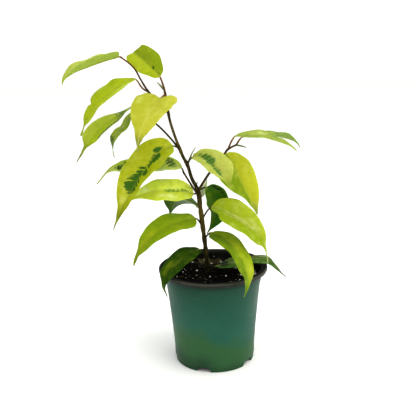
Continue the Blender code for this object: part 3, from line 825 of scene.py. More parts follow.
LEAVES = {
    "leaf_01": Leaf(
        foot=(-82.1, 0, 305.2), lift=(31, 31), young_stalk=True,
        midrib=((-83.5, -0.5, 305.4), (-94.5, -8, 302.5), (-112.1, -17, 296.3), (-121.6, -22, 292.5),
                (-129.5, -26, 287), (-132.2, -28, 282.2)),
        face=((-0.15, -0.05, 1), (-0.3, -0.1, 0.95), (-0.7, -0.35, 0.6)),
        left=(11, 12.8, 12.8, 10.5, 6, 1.8), right=(10.5, 12.6, 13.2, 12.6, 10, 5),
        finish=LeafFinish("#A8B444", "#A6B050", "#AAB450", "#A3B64E", Age.YOUNG, fleck="#95A83A",
                          flecked=0.15)),
    "leaf_02": Leaf(
        foot=(-45, -5, 285), lift=(12, 12), young_stalk=True,
        midrib=((-45.5, -5, 286.3), (-57, 6, 297), (-67, 20, 305), (-73, 32, 308.5), (-76.5, 44, 306),
                (-79.5, 54, 298)),
        face=((-0.2, -0.8, 0.55), (-0.5, -0.5, 0.7), (-0.4, 0.4, 0.8)),
        left=(7, 12, 12.5, 8.5, 4, 1.4), right=(10, 14.5, 13.5, 9.5, 5, 1.5),
        finish=LeafFinish("#A2AE10", "#879904", "#9AAA14", "#A8BC50", Age.YOUNG, dark="#2F5A10",
                          fleck="#86980C", pale="#B2BC3A", flecked=0.25,
                          darks=(Patch(0.16, 0.12, 0.022, 0.10),))),
    "leaf_03": Leaf(
        foot=(-57.3, 0, 272.5), stalk=((-63.2, 2, 276),), lift=(14, 14), young_stalk=True,
        midrib=((-69.5, 2, 284.5), (-80, -2, 281), (-91, -6, 274), (-101, -10, 267), (-108.5, -13, 259),
                (-114, -15, 250), (-120.5, -17, 234.5)),
        face=((-0.1, -0.43, 0.9), (-0.4, -0.5, 0.77), (-0.73, -0.58, 0.36)),
        left=(7, 12.5, 13.5, 12, 8, 2), right=(5.5, 13.5, 12.5, 8.2, 5.2, 1.6),
        dips=(Dip(RIGHT, 0.04, 0.03, 0.25), Dip(RIGHT, 0.33, 0.07, 0.08), Dip(RIGHT, 0.61, 0.022, 0.35),
              Dip(RIGHT, 0.84, 0.06, 0.3)),
        finish=LeafFinish("#AFBC18", "#A5B40C", "#809402", "#A8BC50", Age.GROWN, fleck="#8CA40C",
                          flecked=0.15, pale="#B8C454", pales_and_highlights=(Patch(0.15, -0.75, 0.25, 0.3, 0.9),))),
    "leaf_04": Leaf(
        foot=(-73, 10, 256.5), lift=(4, 4),
        midrib=((-75, 9, 258), (-86.5, 7, 251.3), (-98, 4, 245.5), (-108.5, 0, 237.5), (-116, -4, 228),
                (-120, -6, 221), (-128, -9, 208.5)),
        face=((-0.27, -0.14, 0.9), (-0.35, -0.57, 0.75), (-0.56, -0.64, 0.53)),
        left=(8, 13.5, 13.5, 10, 3, 0.9), right=(4, 8, 13.5, 12, 4, 1),
        dips=(Dip(LEFT, 0.45, 0.14, 0.08), Dip(LEFT, 0.83, 0.05, 0.35), Dip(RIGHT, 0.78, 0.06, 0.4)),
        finish=LeafFinish("#ABBC10", "#B2C030", "#506603", "#98AC5A", Age.GROWN, dark="#6E8446",
                          fleck="#829A10", flecked=0.25, tip_from=0.62, darks=(
                              Patch(0.16, 0.2, 0.07, 0.9, 0.9), Patch(0.35, -0.95, 0.3, 0.15, 0.8)))),
    "leaf_05": Leaf(
        foot=(-73, 10, 256.5), lift=(5, 5),
        midrib=((-76, 13, 251.5), (-83.8, 18, 240), (-93.6, 21, 230), (-97.7, 23, 219), (-97, 25, 206.5)),
        face=((-0.8, -0.45, 0.35), (-0.65, -0.42, 0.6), (-0.85, -0.5, 0)),
        left=(7, 10.5, 9, 6, 2.5, 0.7), right=(5, 7, 8.5, 9, 3, 0.7),
        dips=(Dip(RIGHT, 0.39, 0.08, 0.35), Dip(LEFT, 0.36, 0.05, 0.1), Dip(RIGHT, 0.67, 0.05, -0.15)),
        finish=LeafFinish("#A5B726", "#A2B12A", "#56700C", "#93A860", Age.GROWN, dark="#52700A",
                          fleck="#7C942C", pale="#B0BC80", tip_from=0.6,
                          darks=(Patch(0.1, -0.7, 0.08, 0.4, 0.4), Patch(0.76, 0.6, 0.14, 0.7),
                                 Patch(0.74, -0.7, 0.12, 0.6, 0.8)),
                          pales_and_highlights=(Patch(0.32, -0.1, 0.2, 0.35),))),
    "leaf_06": Leaf(
        foot=(-41.5, -7, 270), lift=(8, 14), lobes=(7, 2.5), young_stalk=True,
        midrib=((-45.5, -10, 267), (-52.5, -18, 259), (-58.5, -30, 249.5), (-64, -42, 235.5),
                (-65, -50, 223)),
        face=((-0.25, -0.55, 0.78), (-0.1, -0.62, 0.75), (0.1, -0.85, 0.5)),
        left=(23.5, 20, 14, 8.5, 3.8, 1.2), right=(21, 19.8, 15, 8.2, 3.2, 1.1),
        dips=(Dip(LEFT, 0.13, 0.05, 0.13), Dip(LEFT, 0.03, 0.02, -0.12), Dip(RIGHT, 0.09, 0.03, 0.14),
              Dip(RIGHT, 0.7, 0.08, 0.2), Dip(LEFT, 0.76, 0.04, 0.15)),
        finish=LeafFinish("#B8B83C", "#ABAD2E", "#303C02", "#B8C468", Age.YOUNG, fleck="#9EA522",
                          pale="#C8CC70", tip_from=0.64, ribbed=0.4,
                          # These pale patches are painted highlights
                          pales_and_highlights=(Patch(0.3, -0.15, 0.3, 0.12, 0.6), Patch(0.12, 0.75, 0.1, 0.2, 0.6)))),
    "leaf_07": Leaf(
        foot=(-30, -7, 219), lift=(20, 20),
        midrib=((-35.5, -10, 222), (-49, -16, 217), (-60, -24, 204.5), (-69, -30, 193), (-77.5, -35, 179.5),
                (-84, -38, 168.5), (-92, -42, 149.5)),
        face=((0.1, -0.6, 0.8), (-0.32, -0.7, 0.63), (-0.4, -0.87, 0.32)),
        left=(14.5, 17, 11, 9, 5.5, 2.2), right=(13, 18.5, 19.3, 13.2, 5, 1.6),
        dips=(Dip(LEFT, 0.34, 0.05, 0.09), Dip(LEFT, 0.69, 0.03, 0.1), Dip(RIGHT, 0.81, 0.06, 0.3)),
        finish=LeafFinish("#9EA702", "#AEB31C", "#485602", "#A8B850", Age.YOUNG, dark="#2F6410",
                          fleck="#8C9A06", pale="#C2C65C", tip_from=0.66,
                          darks=(Patch(0.21, -0.2, 0.045, 0.2), Patch(0.29, -0.14, 0.05, 0.13),
                                 Patch(0.395, -0.28, 0.025, 0.3), Patch(0.55, -0.24, 0.065, 0.28),
                                 Patch(0.14, 0.18, 0.04, 0.12), Patch(0.42, 0.1, 0.06, 0.12),
                                 Patch(0.55, 0.24, 0.06, 0.26)),
                          # This pale patch is a painted highlight
                          pales_and_highlights=(Patch(0.68, 0.35, 0.12, 0.3, 0.9),))),
    "leaf_08": Leaf(
        foot=(-26.5, -10, 196.5), lift=(-18, -18),
        midrib=((-28, -10, 200.5), (-38, -6, 207), (-59, 0, 209.5), (-81, 4, 203.8), (-99.5, 7, 198),
                (-113.5, 9, 183)),
        face=((0.4, -0.5, 0.75), (-0.2, -0.5, 0.84), (-0.6, -0.63, 0.48)),
        left=(11, 15, 14, 8, 3, 1), right=(8, 11, 13, 9, 3.5, 1),
        finish=LeafFinish("#BCC666", "#A6B82E", "#70801E", "#8FA45C", Age.GROWN, dark="#3A5C14",
                          fleck="#7A9A24", rim="#C4D094", rim_width=0.25,
                          darks=(Patch(0.1, -0.3, 0.04, 0.3), Patch(0.16, 0.15, 0.03, 0.3),
                                 Patch(0.3, 0.0, 0.1, 0.35), Patch(0.55, 0.1, 0.08, 0.35),
                                 Patch(0.69, -0.35, 0.035, 0.3)))),
    "leaf_09": Leaf(
        foot=(-14.4, -5.5, 174.8), lift=(4, 4),
        midrib=((-17.2, -9, 174.6), (-28.5, -11, 178), (-40, -12, 179.6), (-53, -13, 179.9),
                (-66, -12.5, 176.5), (-76, -12, 173), (-88, -9, 167)),
        face=((0.33, -0.54, 0.77), (0, -0.56, 0.83), (-0.43, -0.59, 0.68)),
        left=(9.5, 15, 14.5, 8.5, 4, 1.2), right=(11, 15, 14, 9, 4, 1.2),
        dips=(Dip(LEFT, 0.74, 0.1, 0.2), Dip(RIGHT, 0.3, 0.05, 0.05)),
        finish=LeafFinish("#C8D13E", "#DAE458", "#BCC84A", "#A6BA54", Age.YOUNG, dark="#7C9C1C",
                          fleck="#A8BE2C", pale="#DCE2A4",
                          darks=(Patch(0.12, 0.14, 0.07, 0.08, 0.8), Patch(0.23, -0.04, 0.08, 0.1, 0.9),
                                 Patch(0.33, -0.12, 0.05, 0.14, 0.9)),
                          # These pale patches are painted highlights
                          pales_and_highlights=(Patch(0.66, 0.4, 0.08, 0.35, 0.9), Patch(0.35, -0.6, 0.15, 0.15, 0.8)))),
    "leaf_10": Leaf(
        foot=(-10.5, -6, 154), lift=(8, 8),
        midrib=((-12.5, -1, 159), (-22, 8, 163.5), (-31, 20, 162.5), (-38.5, 31, 156.5), (-44.5, 40, 140.8)),
        face=((0.5, 0.5, 0.6), (0.1, 0.75, 0.6), (-0.5, 0.7, 0.3)),
        left=(7, 11, 13, 13, 7, 2), right=(8, 14, 16.5, 13.5, 9, 2.8),
        finish=LeafFinish("#3E6610", "#3C620E", "#284C08", "#4E7028", Age.OLD, fleck="#2E5208",
                          pale="#7F9A58")),
    "leaf_11": Leaf(
        foot=(-9.2, -7, 140), lift=(10, 10),
        midrib=((-16, -10, 150.5), (-29, -15, 149.5), (-42.5, -20, 147), (-56, -24, 140), (-66, -27, 131.5),
                (-72.5, -29, 121.5), (-76.5, -31, 110)),
        face=((0.1, -0.46, 0.88), (-0.2, -0.5, 0.84), (-0.63, -0.7, 0.34)),
        left=(15, 15.5, 15, 12.5, 7.5, 2.6), right=(9.5, 13, 13.5, 9, 3.6, 1.2),
        dips=(Dip(LEFT, 0.25, 0.05, 0.08), Dip(LEFT, 0.6, 0.08, 0.08), Dip(RIGHT, 0.15, 0.09, 0.15),
              Dip(RIGHT, 0.8, 0.07, 0.35)),
        finish=LeafFinish("#849C02", "#8CA410", "#647206", "#90A648", Age.GROWN, fleck="#668402",
                          pale="#A6AE16", ribbed=0.3,
                          pales_and_highlights=(Patch(0.64, 0.1, 0.13, 0.5, 0.9), Patch(0.28, -0.12, 0.2, 0.06, 0.7)))),
    "leaf_12": Leaf(
        foot=(-7, -7, 116), lift=(6, 6),
        midrib=((-12, -12, 119), (-22.5, -19, 118), (-32, -27, 114.5), (-40.5, -34, 109), (-45.5, -39, 102),
                (-47.5, -42, 94), (-44.5, -44, 83)),
        face=((0.1, -0.28, 0.95), (-0.3, -0.35, 0.9), (-0.6, -0.78, -0.1)),
        left=(7.5, 12.5, 14.5, 11, 4.5, 1.2), right=(8, 11.5, 11, 8.5, 3.6, 1.1),
        dips=(Dip(RIGHT, 0.8, 0.06, 0.25), Dip(RIGHT, 0.6, 0.04, 0.08)),
        finish=LeafFinish("#244402", "#284A02", "#102202", "#5F8238", Age.OLD, fleck="#4A6804",
                          flecked=0.5, pale="#6A780E", ribbed=0.25,
                          pales_and_highlights=(Patch(0.45, -0.2, 0.25, 0.2, 0.7), Patch(0.58, 0.35, 0.15, 0.25, 0.9)))),
    "leaf_13": Leaf(
        foot=(-8, -7, 128), lift=(6, 6),
        midrib=((-1.5, -12, 136), (9, -22, 134.5), (20, -36, 128.5), (27, -48, 120.5), (30.5, -56, 111.5),
                (31, -60, 101), (27.5, -61, 88)),
        face=((-0.1, -0.25, 0.96), (0.42, -0.3, 0.86), (0.61, -0.77, -0.1)),
        left=(8, 11, 11, 10.5, 6, 2), right=(10, 14, 12.4, 12, 5.5, 2.2),
        dips=(Dip(LEFT, 0.67, 0.08, 0.13), Dip(RIGHT, 0.79, 0.035, 0.2), Dip(RIGHT, 0.45, 0.06, 0.04)),
        finish=LeafFinish("#96A80E", "#6E8804", "#587A04", "#92A850", Age.GROWN, fleck="#6E8606",
                          flecked=0.4, pale="#AEBA30", ribbed=0.1,
                          pales_and_highlights=(Patch(0.3, -0.4, 0.2, 0.4, 0.5), Patch(0.6, 0.2, 0.2, 0.4, 0.6),
                                 # The pale patch near the tip on the left is a painted highlight
                                 Patch(0.7, -0.7, 0.08, 0.4, 0.8)))),
    "leaf_14": Leaf(
        foot=(-4, -6, 98), lift=(8, -8),
        midrib=((2.5, -6, 99), (13, -5, 101), (27, -3, 103), (43.5, -1, 104), (56, 0, 102.5),
                (64.5, -1, 94.4), (73.5, -2, 84.3)),
        face=((-0.13, -0.05, 1), (0, -0.05, 1), (0.76, -0.26, 0.6)),
        left=(5.5, 8, 7, 6.5, 3, 1), right=(9, 11, 10, 8, 4, 1.2),
        finish=LeafFinish("#586A2C", "#4C701C", "#182808", "#3F6A2C", Age.OLD, dark="#14260A",
                          fleck="#304E0E", flecked=0.6, pale="#A0B084",
                          darks=(Patch(0.06, 0.0, 0.1, 0.7), Patch(0.36, 0.1, 0.07, 0.5, 0.8)),
                          # These pale patches along the left edge are painted highlights
                          pales_and_highlights=(Patch(0.14, -0.7, 0.04, 0.2, 0.9), Patch(0.62, -0.6, 0.08, 0.3, 0.7)))),
    "leaf_15": Leaf(
        foot=(-10, -6, 147.5), lift=(26, 26),
        midrib=((0, -8, 161), (10, -13, 158), (17.5, -18, 154), (29, -24, 148), (42, -31, 139),
                (48.5, -35, 130.5), (52, -38, 112)),
        face=((-0.05, -0.58, 0.81), (0.2, -0.62, 0.76), (0.53, -0.84, 0.15)),
        left=(12.5, 18, 15.5, 9, 2, 0.7), right=(9, 18.5, 17, 15, 4.2, 0.8),
        dips=(Dip(RIGHT, 0.16, 0.09, 0.28), Dip(RIGHT, 0.56, 0.07, 0.15), Dip(RIGHT, 0.745, 0.035, -0.3),
              Dip(LEFT, 0.79, 0.05, 0.3), Dip(RIGHT, 0.85, 0.04, 0.3)),
        finish=LeafFinish("#AAB71E", "#90A307", "#808686", "#9CB44C", Age.GROWN, fleck="#86A008",
                          pale="#C4CC74", tip_from=0.84, ribbed=0.4,
                          # These pale patches are painted highlights along the fold
                          pales_and_highlights=(Patch(0.25, -0.1, 0.3, 0.1, 0.9), Patch(0.55, -0.4, 0.1, 0.3, 0.9)))),
    "leaf_16": Leaf(
        foot=(9, -3, 206), lift=(14, 14),
        midrib=((14.8, -5, 212.9), (18.6, -6, 208.3), (25.1, -7.5, 194.5), (35.2, -10.5, 172.9),
                (44.3, -13, 153.6)),
        face=((0, -0.98, 0.22), (0, -0.95, 0.32), (0, -0.97, 0.25)),
        left=(10, 15.5, 16, 12.5, 8, 4), right=(12, 19, 15.5, 8, 4, 1.5),
        dips=(Dip(LEFT, 0.03, 0.04, 0.3), Dip(RIGHT, 0.75, 0.1, 0.3), Dip(LEFT, 0.5, 0.08, 0.05)),
        finish=LeafFinish("#C0C22C", "#7E9802", "#A4B360", "#AEBE50", Age.YOUNG, fleck="#A2AC1C",
                          # The pale patch is a painted highlight
                          pale="#D0D470", pales_and_highlights=(Patch(0.45, -0.5, 0.3, 0.15, 0.3),))),
    "leaf_17": Leaf(
        foot=(-23.2, -7, 204), lift=(26, 26), lobes=(4, 1),
        midrib=((-17, -10, 211), (-11, -15, 212), (-4.5, -21, 209.5), (2, -28, 205), (10, -37, 198.5),
                (16.5, -45, 188.5)),
        face=((-0.5, -0.5, 0.7), (0.05, -0.52, 0.85), (0.37, -0.66, 0.66)),
        left=(6, 10.5, 15, 15, 10, 5), right=(7, 9, 12.2, 15, 9, 4),
        dips=(Dip(LEFT, 0.07, 0.05, 0.25), Dip(RIGHT, 0.36, 0.06, 0.1), Dip(RIGHT, 0.73, 0.03, 0.15)),
        finish=LeafFinish("#B4B958", "#A7AE52", "#80910A", "#9CB060", Age.YOUNG, dark="#4A782C",
                          fleck="#96A640", pale="#C4CC7C",
                          darks=(Patch(0.24, -0.2, 0.08, 0.25, 0.9), Patch(0.38, -0.12, 0.08, 0.24),
                                 Patch(0.4, 0.22, 0.06, 0.2, 0.5), Patch(0.52, 0.12, 0.05, 0.12, 0.8),
                                 Patch(0.64, 0.14, 0.06, 0.2, 0.9), Patch(0.74, 0.3, 0.05, 0.16, 0.9)))),
    "leaf_18": Leaf(
        foot=(17, -2, 216.5), lift=(10, 10), young_stalk=True,
        midrib=((24, -2, 229), (36, -7, 230.5), (50.5, -13, 230), (65, -19, 226.5), (74, -22, 222),
                (80, -24, 217)),
        face=((-0.28, -0.15, 0.95), (0.05, -0.2, 0.98), (0.5, -0.28, 0.8)),
        left=(6, 9, 11, 7, 3.5, 1.2), right=(7, 12, 13, 11, 6.5, 2),
        dips=(Dip(LEFT, 0.47, 0.05, 0.25), Dip(LEFT, 0.66, 0.05, 0.3), Dip(LEFT, 0.3, 0.08, -0.2)),
        finish=LeafFinish("#98A646", "#90A03E", "#90A424", "#9CB454", Age.YOUNG, dark="#7C9440",
                          fleck="#869A30", pale="#BCC878", darks=(
                              Patch(0.6, -0.5, 0.1, 0.4, 0.8), Patch(0.2, 0.6, 0.1, 0.3, 0.6)),
                          # The pale patch is a painted highlight
                          pales_and_highlights=(Patch(0.35, -0.3, 0.14, 0.3, 0.9),))),
    "leaf_19": Leaf(
        foot=(25, -2, 220.5), lift=(8, 8), young_stalk=True,
        midrib=((32, 8, 227), (45, 11, 228), (61, 15, 227.5), (76.5, 18, 224), (85.5, 19, 219),
                (90, 20, 213)),
        face=((-0.24, 0.43, 0.87), (0.05, 0.4, 0.9), (0.58, 0.33, 0.74)),
        left=(8, 11, 11.5, 9, 5, 1.6), right=(5, 7.5, 9, 7.5, 4.5, 1.6),
        finish=LeafFinish("#9AAE34", "#A0B040", "#98AC3A", "#8EA850", Age.YOUNG, fleck="#8CA42C",
                          pale="#A9BC70")),
    "leaf_20": Leaf(
        foot=(-12, -4, 177), lift=(24, 24),
        midrib=((-5.5, 3, 178), (1.5, 5, 169), (5, 6, 156.5), (2, 6, 144), (-5.5, 5, 130)),
        face=((0.5, -0.82, 0.28), (0.4, -0.9, 0), (0.27, -0.96, -0.08)),
        left=(9.5, 13.5, 13, 9, 4, 1.5), right=(10.5, 13.5, 10.5, 6, 2.5, 0.9),
        finish=LeafFinish("#2E6C02", "#486E0E", "#34620A", "#4F7530", Age.OLD, dark="#183804",
                          fleck="#4E6C04", flecked=0.6, pale="#6E8A20", rim="#7FA050", rim_width=0.1,
                          darks=(Patch(0.2, -0.7, 0.2, 0.2, 0.5),),
                          pales_and_highlights=(Patch(0.12, 0.3, 0.1, 0.4, 0.8),))),
    "leaf_21": Leaf(
        foot=(-11.5, -5, 166), lift=(10, 10),
        midrib=((-11.9, 0.5, 168.4), (-7.3, 7, 174.4), (-4, 13, 183.8)),
        face=((0.2, -0.86, 0.48), (0.05, -0.85, 0.52)),
        left=(3, 4, 3.6, 2.6, 1.4, 0.7), right=(2, 2.5, 2.6, 2.2, 1.2, 0.6),
        finish=LeafFinish("#C4CAAC", "#D8E0B4", "#9CAC6C", "#A0B078", Age.YOUNG, fleck="#98A868")),
}


# Stem

@dataclass(frozen=True)
class BarkFinish:
    """Grown bark: olive-black on the old wood, paler between some nodes, olive-brown on new shoots.

    Fine long cracks run with the stem, and small corky pores dot it. The paler bands between nodes
    and the light streaks are partly painted light.
    """

    # The paler bands along the trunk are partly painted light
    ages: tuple[tuple[float, str], ...] = (
        (0.0, "#181806"), (0.1, "#36350F"), (0.22, "#62541A"), (0.32, "#302A0A"), (0.46, "#1C1806"),
        (0.6, "#4E4416"), (0.74, "#30260E"), (0.9, "#4A3214"), (1.0, "#804C24"))
    cork: str = "#7A6A38"
    split_and_highlight: str = "#6E5E28"
    old_stalk: tuple[str, str, str] = ("#241C06", "#2E2A0A", "#5A5A1C")
    young_stalk: tuple[str, str, str] = ("#603A1A", "#805428", "#98823A")
    rib: str = "#A4AE50"
    bud_foot: str = "#4E5A2A"
    bud_tip: str = "#949C70"

    def material(self) -> bpy.types.Material:
        """Build the bark's material; the attribute "age" runs from 0 on old wood to 1 at a tip.

        Returns:
            The material.
        """
        made, shader = new_material("grown_fig_bark", self.ages[0][1])
        tree = made.node_tree
        age = add(tree, "ShaderNodeAttribute", {"attribute_name": "age"}).outputs["Vector"]
        parts = add(tree, "ShaderNodeSeparateXYZ", links={0: age}).outputs
        space = add(tree, "ShaderNodeTexCoord").outputs["Object"]
        # Cracks 0.5 mm wide and 6 mm long
        drawn = add(tree, "ShaderNodeVectorMath", {"operation": "MULTIPLY", 1: (2000, 2000, 160)},
                    {0: space})
        crack = add(tree, "ShaderNodeTexNoise", {"Scale": 1.0, "Detail": 5.0, "Roughness": 0.6},
                    {"Vector": drawn.outputs[0]})
        ramp = add(tree, "ShaderNodeValToRGB", links={0: parts["X"]})
        stops = ramp.color_ramp.elements
        stops[0].color = linear(self.ages[0][1])
        stops[1].color = linear(self.ages[-1][1])
        for position, colour in self.ages[1:-1]:
            stops.new(position).color = linear(colour)
        # The deepest cracks are 0.6 times as light as the skin, and warmer
        rough = add(tree, "ShaderNodeMapRange", {LOW: 0.35, HIGH: 0.7, AT_HIGH: 0.6}, {0: crack.outputs[0]})
        cracked = add(tree, "ShaderNodeMix",
                      {"data_type": "RGBA", "blend_type": "MULTIPLY", OVER: (0.35, 0.3, 0.25, 1)},
                      {SHARE: rough.outputs[0], UNDER: ramp.outputs[0]})
        # Lighter brown in lines 1 mm wide and 12 mm long, drawn wider than life: splits in the skin, and
        # painted highlights along the stem
        long = add(tree, "ShaderNodeVectorMath", {"operation": "MULTIPLY", 1: (900, 900, 80)}, {0: space})
        strand = add(tree, "ShaderNodeTexNoise", {"Scale": 1.0, "Detail": 2.0}, {"Vector": long.outputs[0]})
        split_and_highlight_mask = add(tree, "ShaderNodeMapRange", {LOW: 0.5, HIGH: 0.68, AT_HIGH: 0.7}, {0: strand.outputs[0]})
        # Corky pores about 1.4 mm apart
        pore = add(tree, "ShaderNodeTexVoronoi", {"Scale": 700.0}, {"Vector": space})
        dot = add(tree, "ShaderNodeMapRange", {LOW: 0.1, HIGH: 0.28, AT_LOW: 0.45, AT_HIGH: 0.0},
                  {0: pore.outputs["Distance"]})
        colour = paint(tree, cracked.outputs[MIXED],
                       [(split_and_highlight_mask.outputs[0], self.split_and_highlight), (dot.outputs[0], self.cork)])
        tree.links.new(colour, shader.inputs["Base Color"])
        bump = add(tree, "ShaderNodeBump", {"Strength": 0.6, "Distance": 0.0003},
                   {"Height": crack.outputs[0]})
        tree.links.new(bump.outputs[0], shader.inputs["Normal"])
        shader.inputs["Roughness"].default_value = 0.6
        shader.inputs["Specular IOR Level"].default_value = 0.15
        return made

    def bud_material(self) -> bpy.types.Material:
        """Build the smooth skin of the pointed buds, dark green at the foot and grey-green at the tip.

        Returns:
            The material.
        """
        made, shader = new_material("smooth_bud_scale", self.bud_tip)
        tree = made.node_tree
        age = add(tree, "ShaderNodeAttribute", {"attribute_name": "age"}).outputs["Vector"]
        along = add(tree, "ShaderNodeSeparateXYZ", links={0: age}).outputs["X"]
        tree.links.new(paint(tree, self.bud_foot, [(along, self.bud_tip)]), shader.inputs["Base Color"])
        shader.inputs["Roughness"].default_value = 0.5
        shader.inputs["Specular IOR Level"].default_value = 0.3
        return made

    def stalk_material(self, young: bool) -> bpy.types.Material:
        """Build the smooth skin of leaf stalks, which turns to the rib's green under the blade.

        Args:
            young: True for the red-brown stalks on this year's shoots.

        Returns:
            The material.
        """
        foot, middle, end = self.young_stalk if young else self.old_stalk
        made, shader = new_material("smooth_young_stalk" if young else "smooth_old_stalk", middle)
        tree = made.node_tree
        place = add(tree, "ShaderNodeAttribute", {"attribute_name": "place"}).outputs["Vector"]
        along = add(tree, "ShaderNodeSeparateXYZ", links={0: place}).outputs["X"]
        ramp = add(tree, "ShaderNodeValToRGB", links={0: along})
        stops = ramp.color_ramp.elements
        stops[0].color = linear(foot)
        stops[1].color = linear(self.rib)
        stops.new(0.6).color = linear(middle)
        stops.new(0.94).color = linear(end)
        space = add(tree, "ShaderNodeTexCoord").outputs["Object"]
        # Uneven pigment, about 4 mm across
        tint = add(tree, "ShaderNodeTexNoise", {"Scale": 250.0, "Detail": 2.0}, {"Vector": space})
        some = add(tree, "ShaderNodeMath", {"operation": "MULTIPLY", 1: 0.3}, {0: tint.outputs[0]})
        colour = paint(tree, ramp.outputs[0], [(some.outputs[0], middle)])
        tree.links.new(colour, shader.inputs["Base Color"])
        shader.inputs["Roughness"].default_value = 0.45
        shader.inputs["Specular IOR Level"].default_value = 0.3
        return made


@dataclass
class Stem:
    """The trunk with its shoots and buds: centre lines x, y, z and radius in millimetres.

    Knuckle is how much the stem swells at a node, in shares of its radius, and its reach is in
    millimetres. Grain is the unevenness of the bark. Buried is the share of the trunk in the soil,
    where the bark stays at its oldest.
    """

    trunk: Sequence[Point] = (
        (-4.6, -7, 58, 2.6), (-4.8, -7, 80, 2.45), (-5.2, -7, 94, 2.25), (-7, -7, 118, 2.0),
        (-9.8, -6.5, 146, 2.0), (-11.3, -6.5, 161, 2.0), (-13.1, -6, 177, 1.9), (-18.7, -6, 189.5, 1.7),
        (-22.6, -6, 203, 1.55), (-26.6, -6, 211, 1.5), (-29.6, -6, 219, 1.4), (-33.4, -6, 230, 1.25),
        (-38, -6, 246.5, 1.2), (-41, -6, 268.5, 1.0), (-42.5, -6, 277, 0.9), (-45, -5, 285, 0.7))
    shoots: Sequence[Sequence[Point]] = (
        ((-29.5, -6, 217.5, 1.0), (-37, -2, 227, 0.9), (-51, 4, 241, 0.85), (-63, 8, 249.5, 0.8),
         (-73, 10, 256.5, 0.7)),
        ((-38.9, -6, 252.5, 0.9), (-47, -3, 262, 0.95), (-57.3, 0, 272.5, 0.9), (-64, -1, 283.9, 0.85),
         (-69.8, -2, 294.9, 0.8), (-82.1, 0, 305.2, 0.7)),
        ((-13, -6, 177, 1.3), (-7, -5, 186, 1.25), (-2, -4, 193.3, 1.2), (7, -3, 204, 1.1),
         (14.3, -2, 213.4, 1.0), (17, -2, 216.5, 0.95), (25, -2, 220.5, 0.85)),
        ((-13, -6.5, 171.5, 1.1), (-14.6, -10.2, 176, 1.0), (-18, -11, 182, 0.95),
         (-23.3, -10.8, 191, 0.9), (-26.5, -10, 196.5, 0.85)))
    shoot_ages: Sequence[float] = (0.84, 1.0, 0.94, 0.8)
    buds: Sequence[Sequence[Point]] = (
        ((-42, -6, 274, 0.7), (-43.7, -6.3, 276.4, 0.95), (-48.6, -8, 282.2, 0.35)),
        ((-22.5, -6, 202.5, 1.0), (-20.5, -5, 207.7, 0.9), (-17.6, -4.4, 214.3, 0.6),
         (-14.2, -4.4, 219.3, 0.35)),
        ((-14, -6, 178, 1.0), (-14.6, -5.8, 181, 0.95), (-13.3, -5, 186, 0.35)),
        ((24.5, -2, 220.4, 0.85), (30, -2.6, 219.4, 0.75), (34.7, -3, 217.8, 0.4)))
    knuckle: float = 0.22
    knuckle_reach: float = 1.7
    grain: float = 0.03
    grain_turn: float = 0.6
    buried: float = 0.15
    ageing: float = 1.3
    shoot_foot_age: float = 0.7

    def _radius_at(self, centre: np.ndarray, radius: float) -> float:
        """Swell the stem where a leaf or a shoot leaves it.

        Args:
            centre: A ring's centre.
            radius: Its plain radius.

        Returns:
            The radius with the swelling.
        """
        feet = [leaf.foot for leaf in LEAVES.values()] + [shoot[0][:3] for shoot in self.shoots]
        near = min(float(np.linalg.norm(centre - np.asarray(foot, float))) for foot in feet)
        gap = max(0.0, near - radius)
        grain = self.grain * noise.noise(Vector(centre) * self.grain_turn)
        return radius * (1 + self.knuckle * math.exp(-(gap / self.knuckle_reach) ** 2)) + grain

    def build(self, finish: BarkFinish) -> None:
        """Make the stem and put it on the plant.

        Args:
            finish: Its bark and its buds' skin.
        """
        draft = MeshDraft()
        verts, faces, along = tube(self.trunk, sides=24, spacing=0.9, radius_at=self._radius_at)
        above = [max(0.0, (a - self.buried) / (1 - self.buried)) for a in along]
        draft.put(verts, faces, age=[(a ** self.ageing, 0.0, 0.0) for a in above])
        for shoot, end in zip(self.shoots, self.shoot_ages):
            verts, faces, along = tube(shoot, sides=16, spacing=0.8, radius_at=self._radius_at)
            grown = end - self.shoot_foot_age
            draft.put(verts, faces, age=[(self.shoot_foot_age + grown * a, 0.0, 0.0) for a in along])
        for bud in self.buds:
            verts, faces, along = tube(bud, sides=14, spacing=0.6)
            draft.put(verts, faces, slot=1, age=[(a, 0.0, 0.0) for a in along])
        materials = [finish.material(), finish.bud_material()]
        settle(draft.piece("stem_grown", materials, sharp=60), "bark", "stem")


# Pot

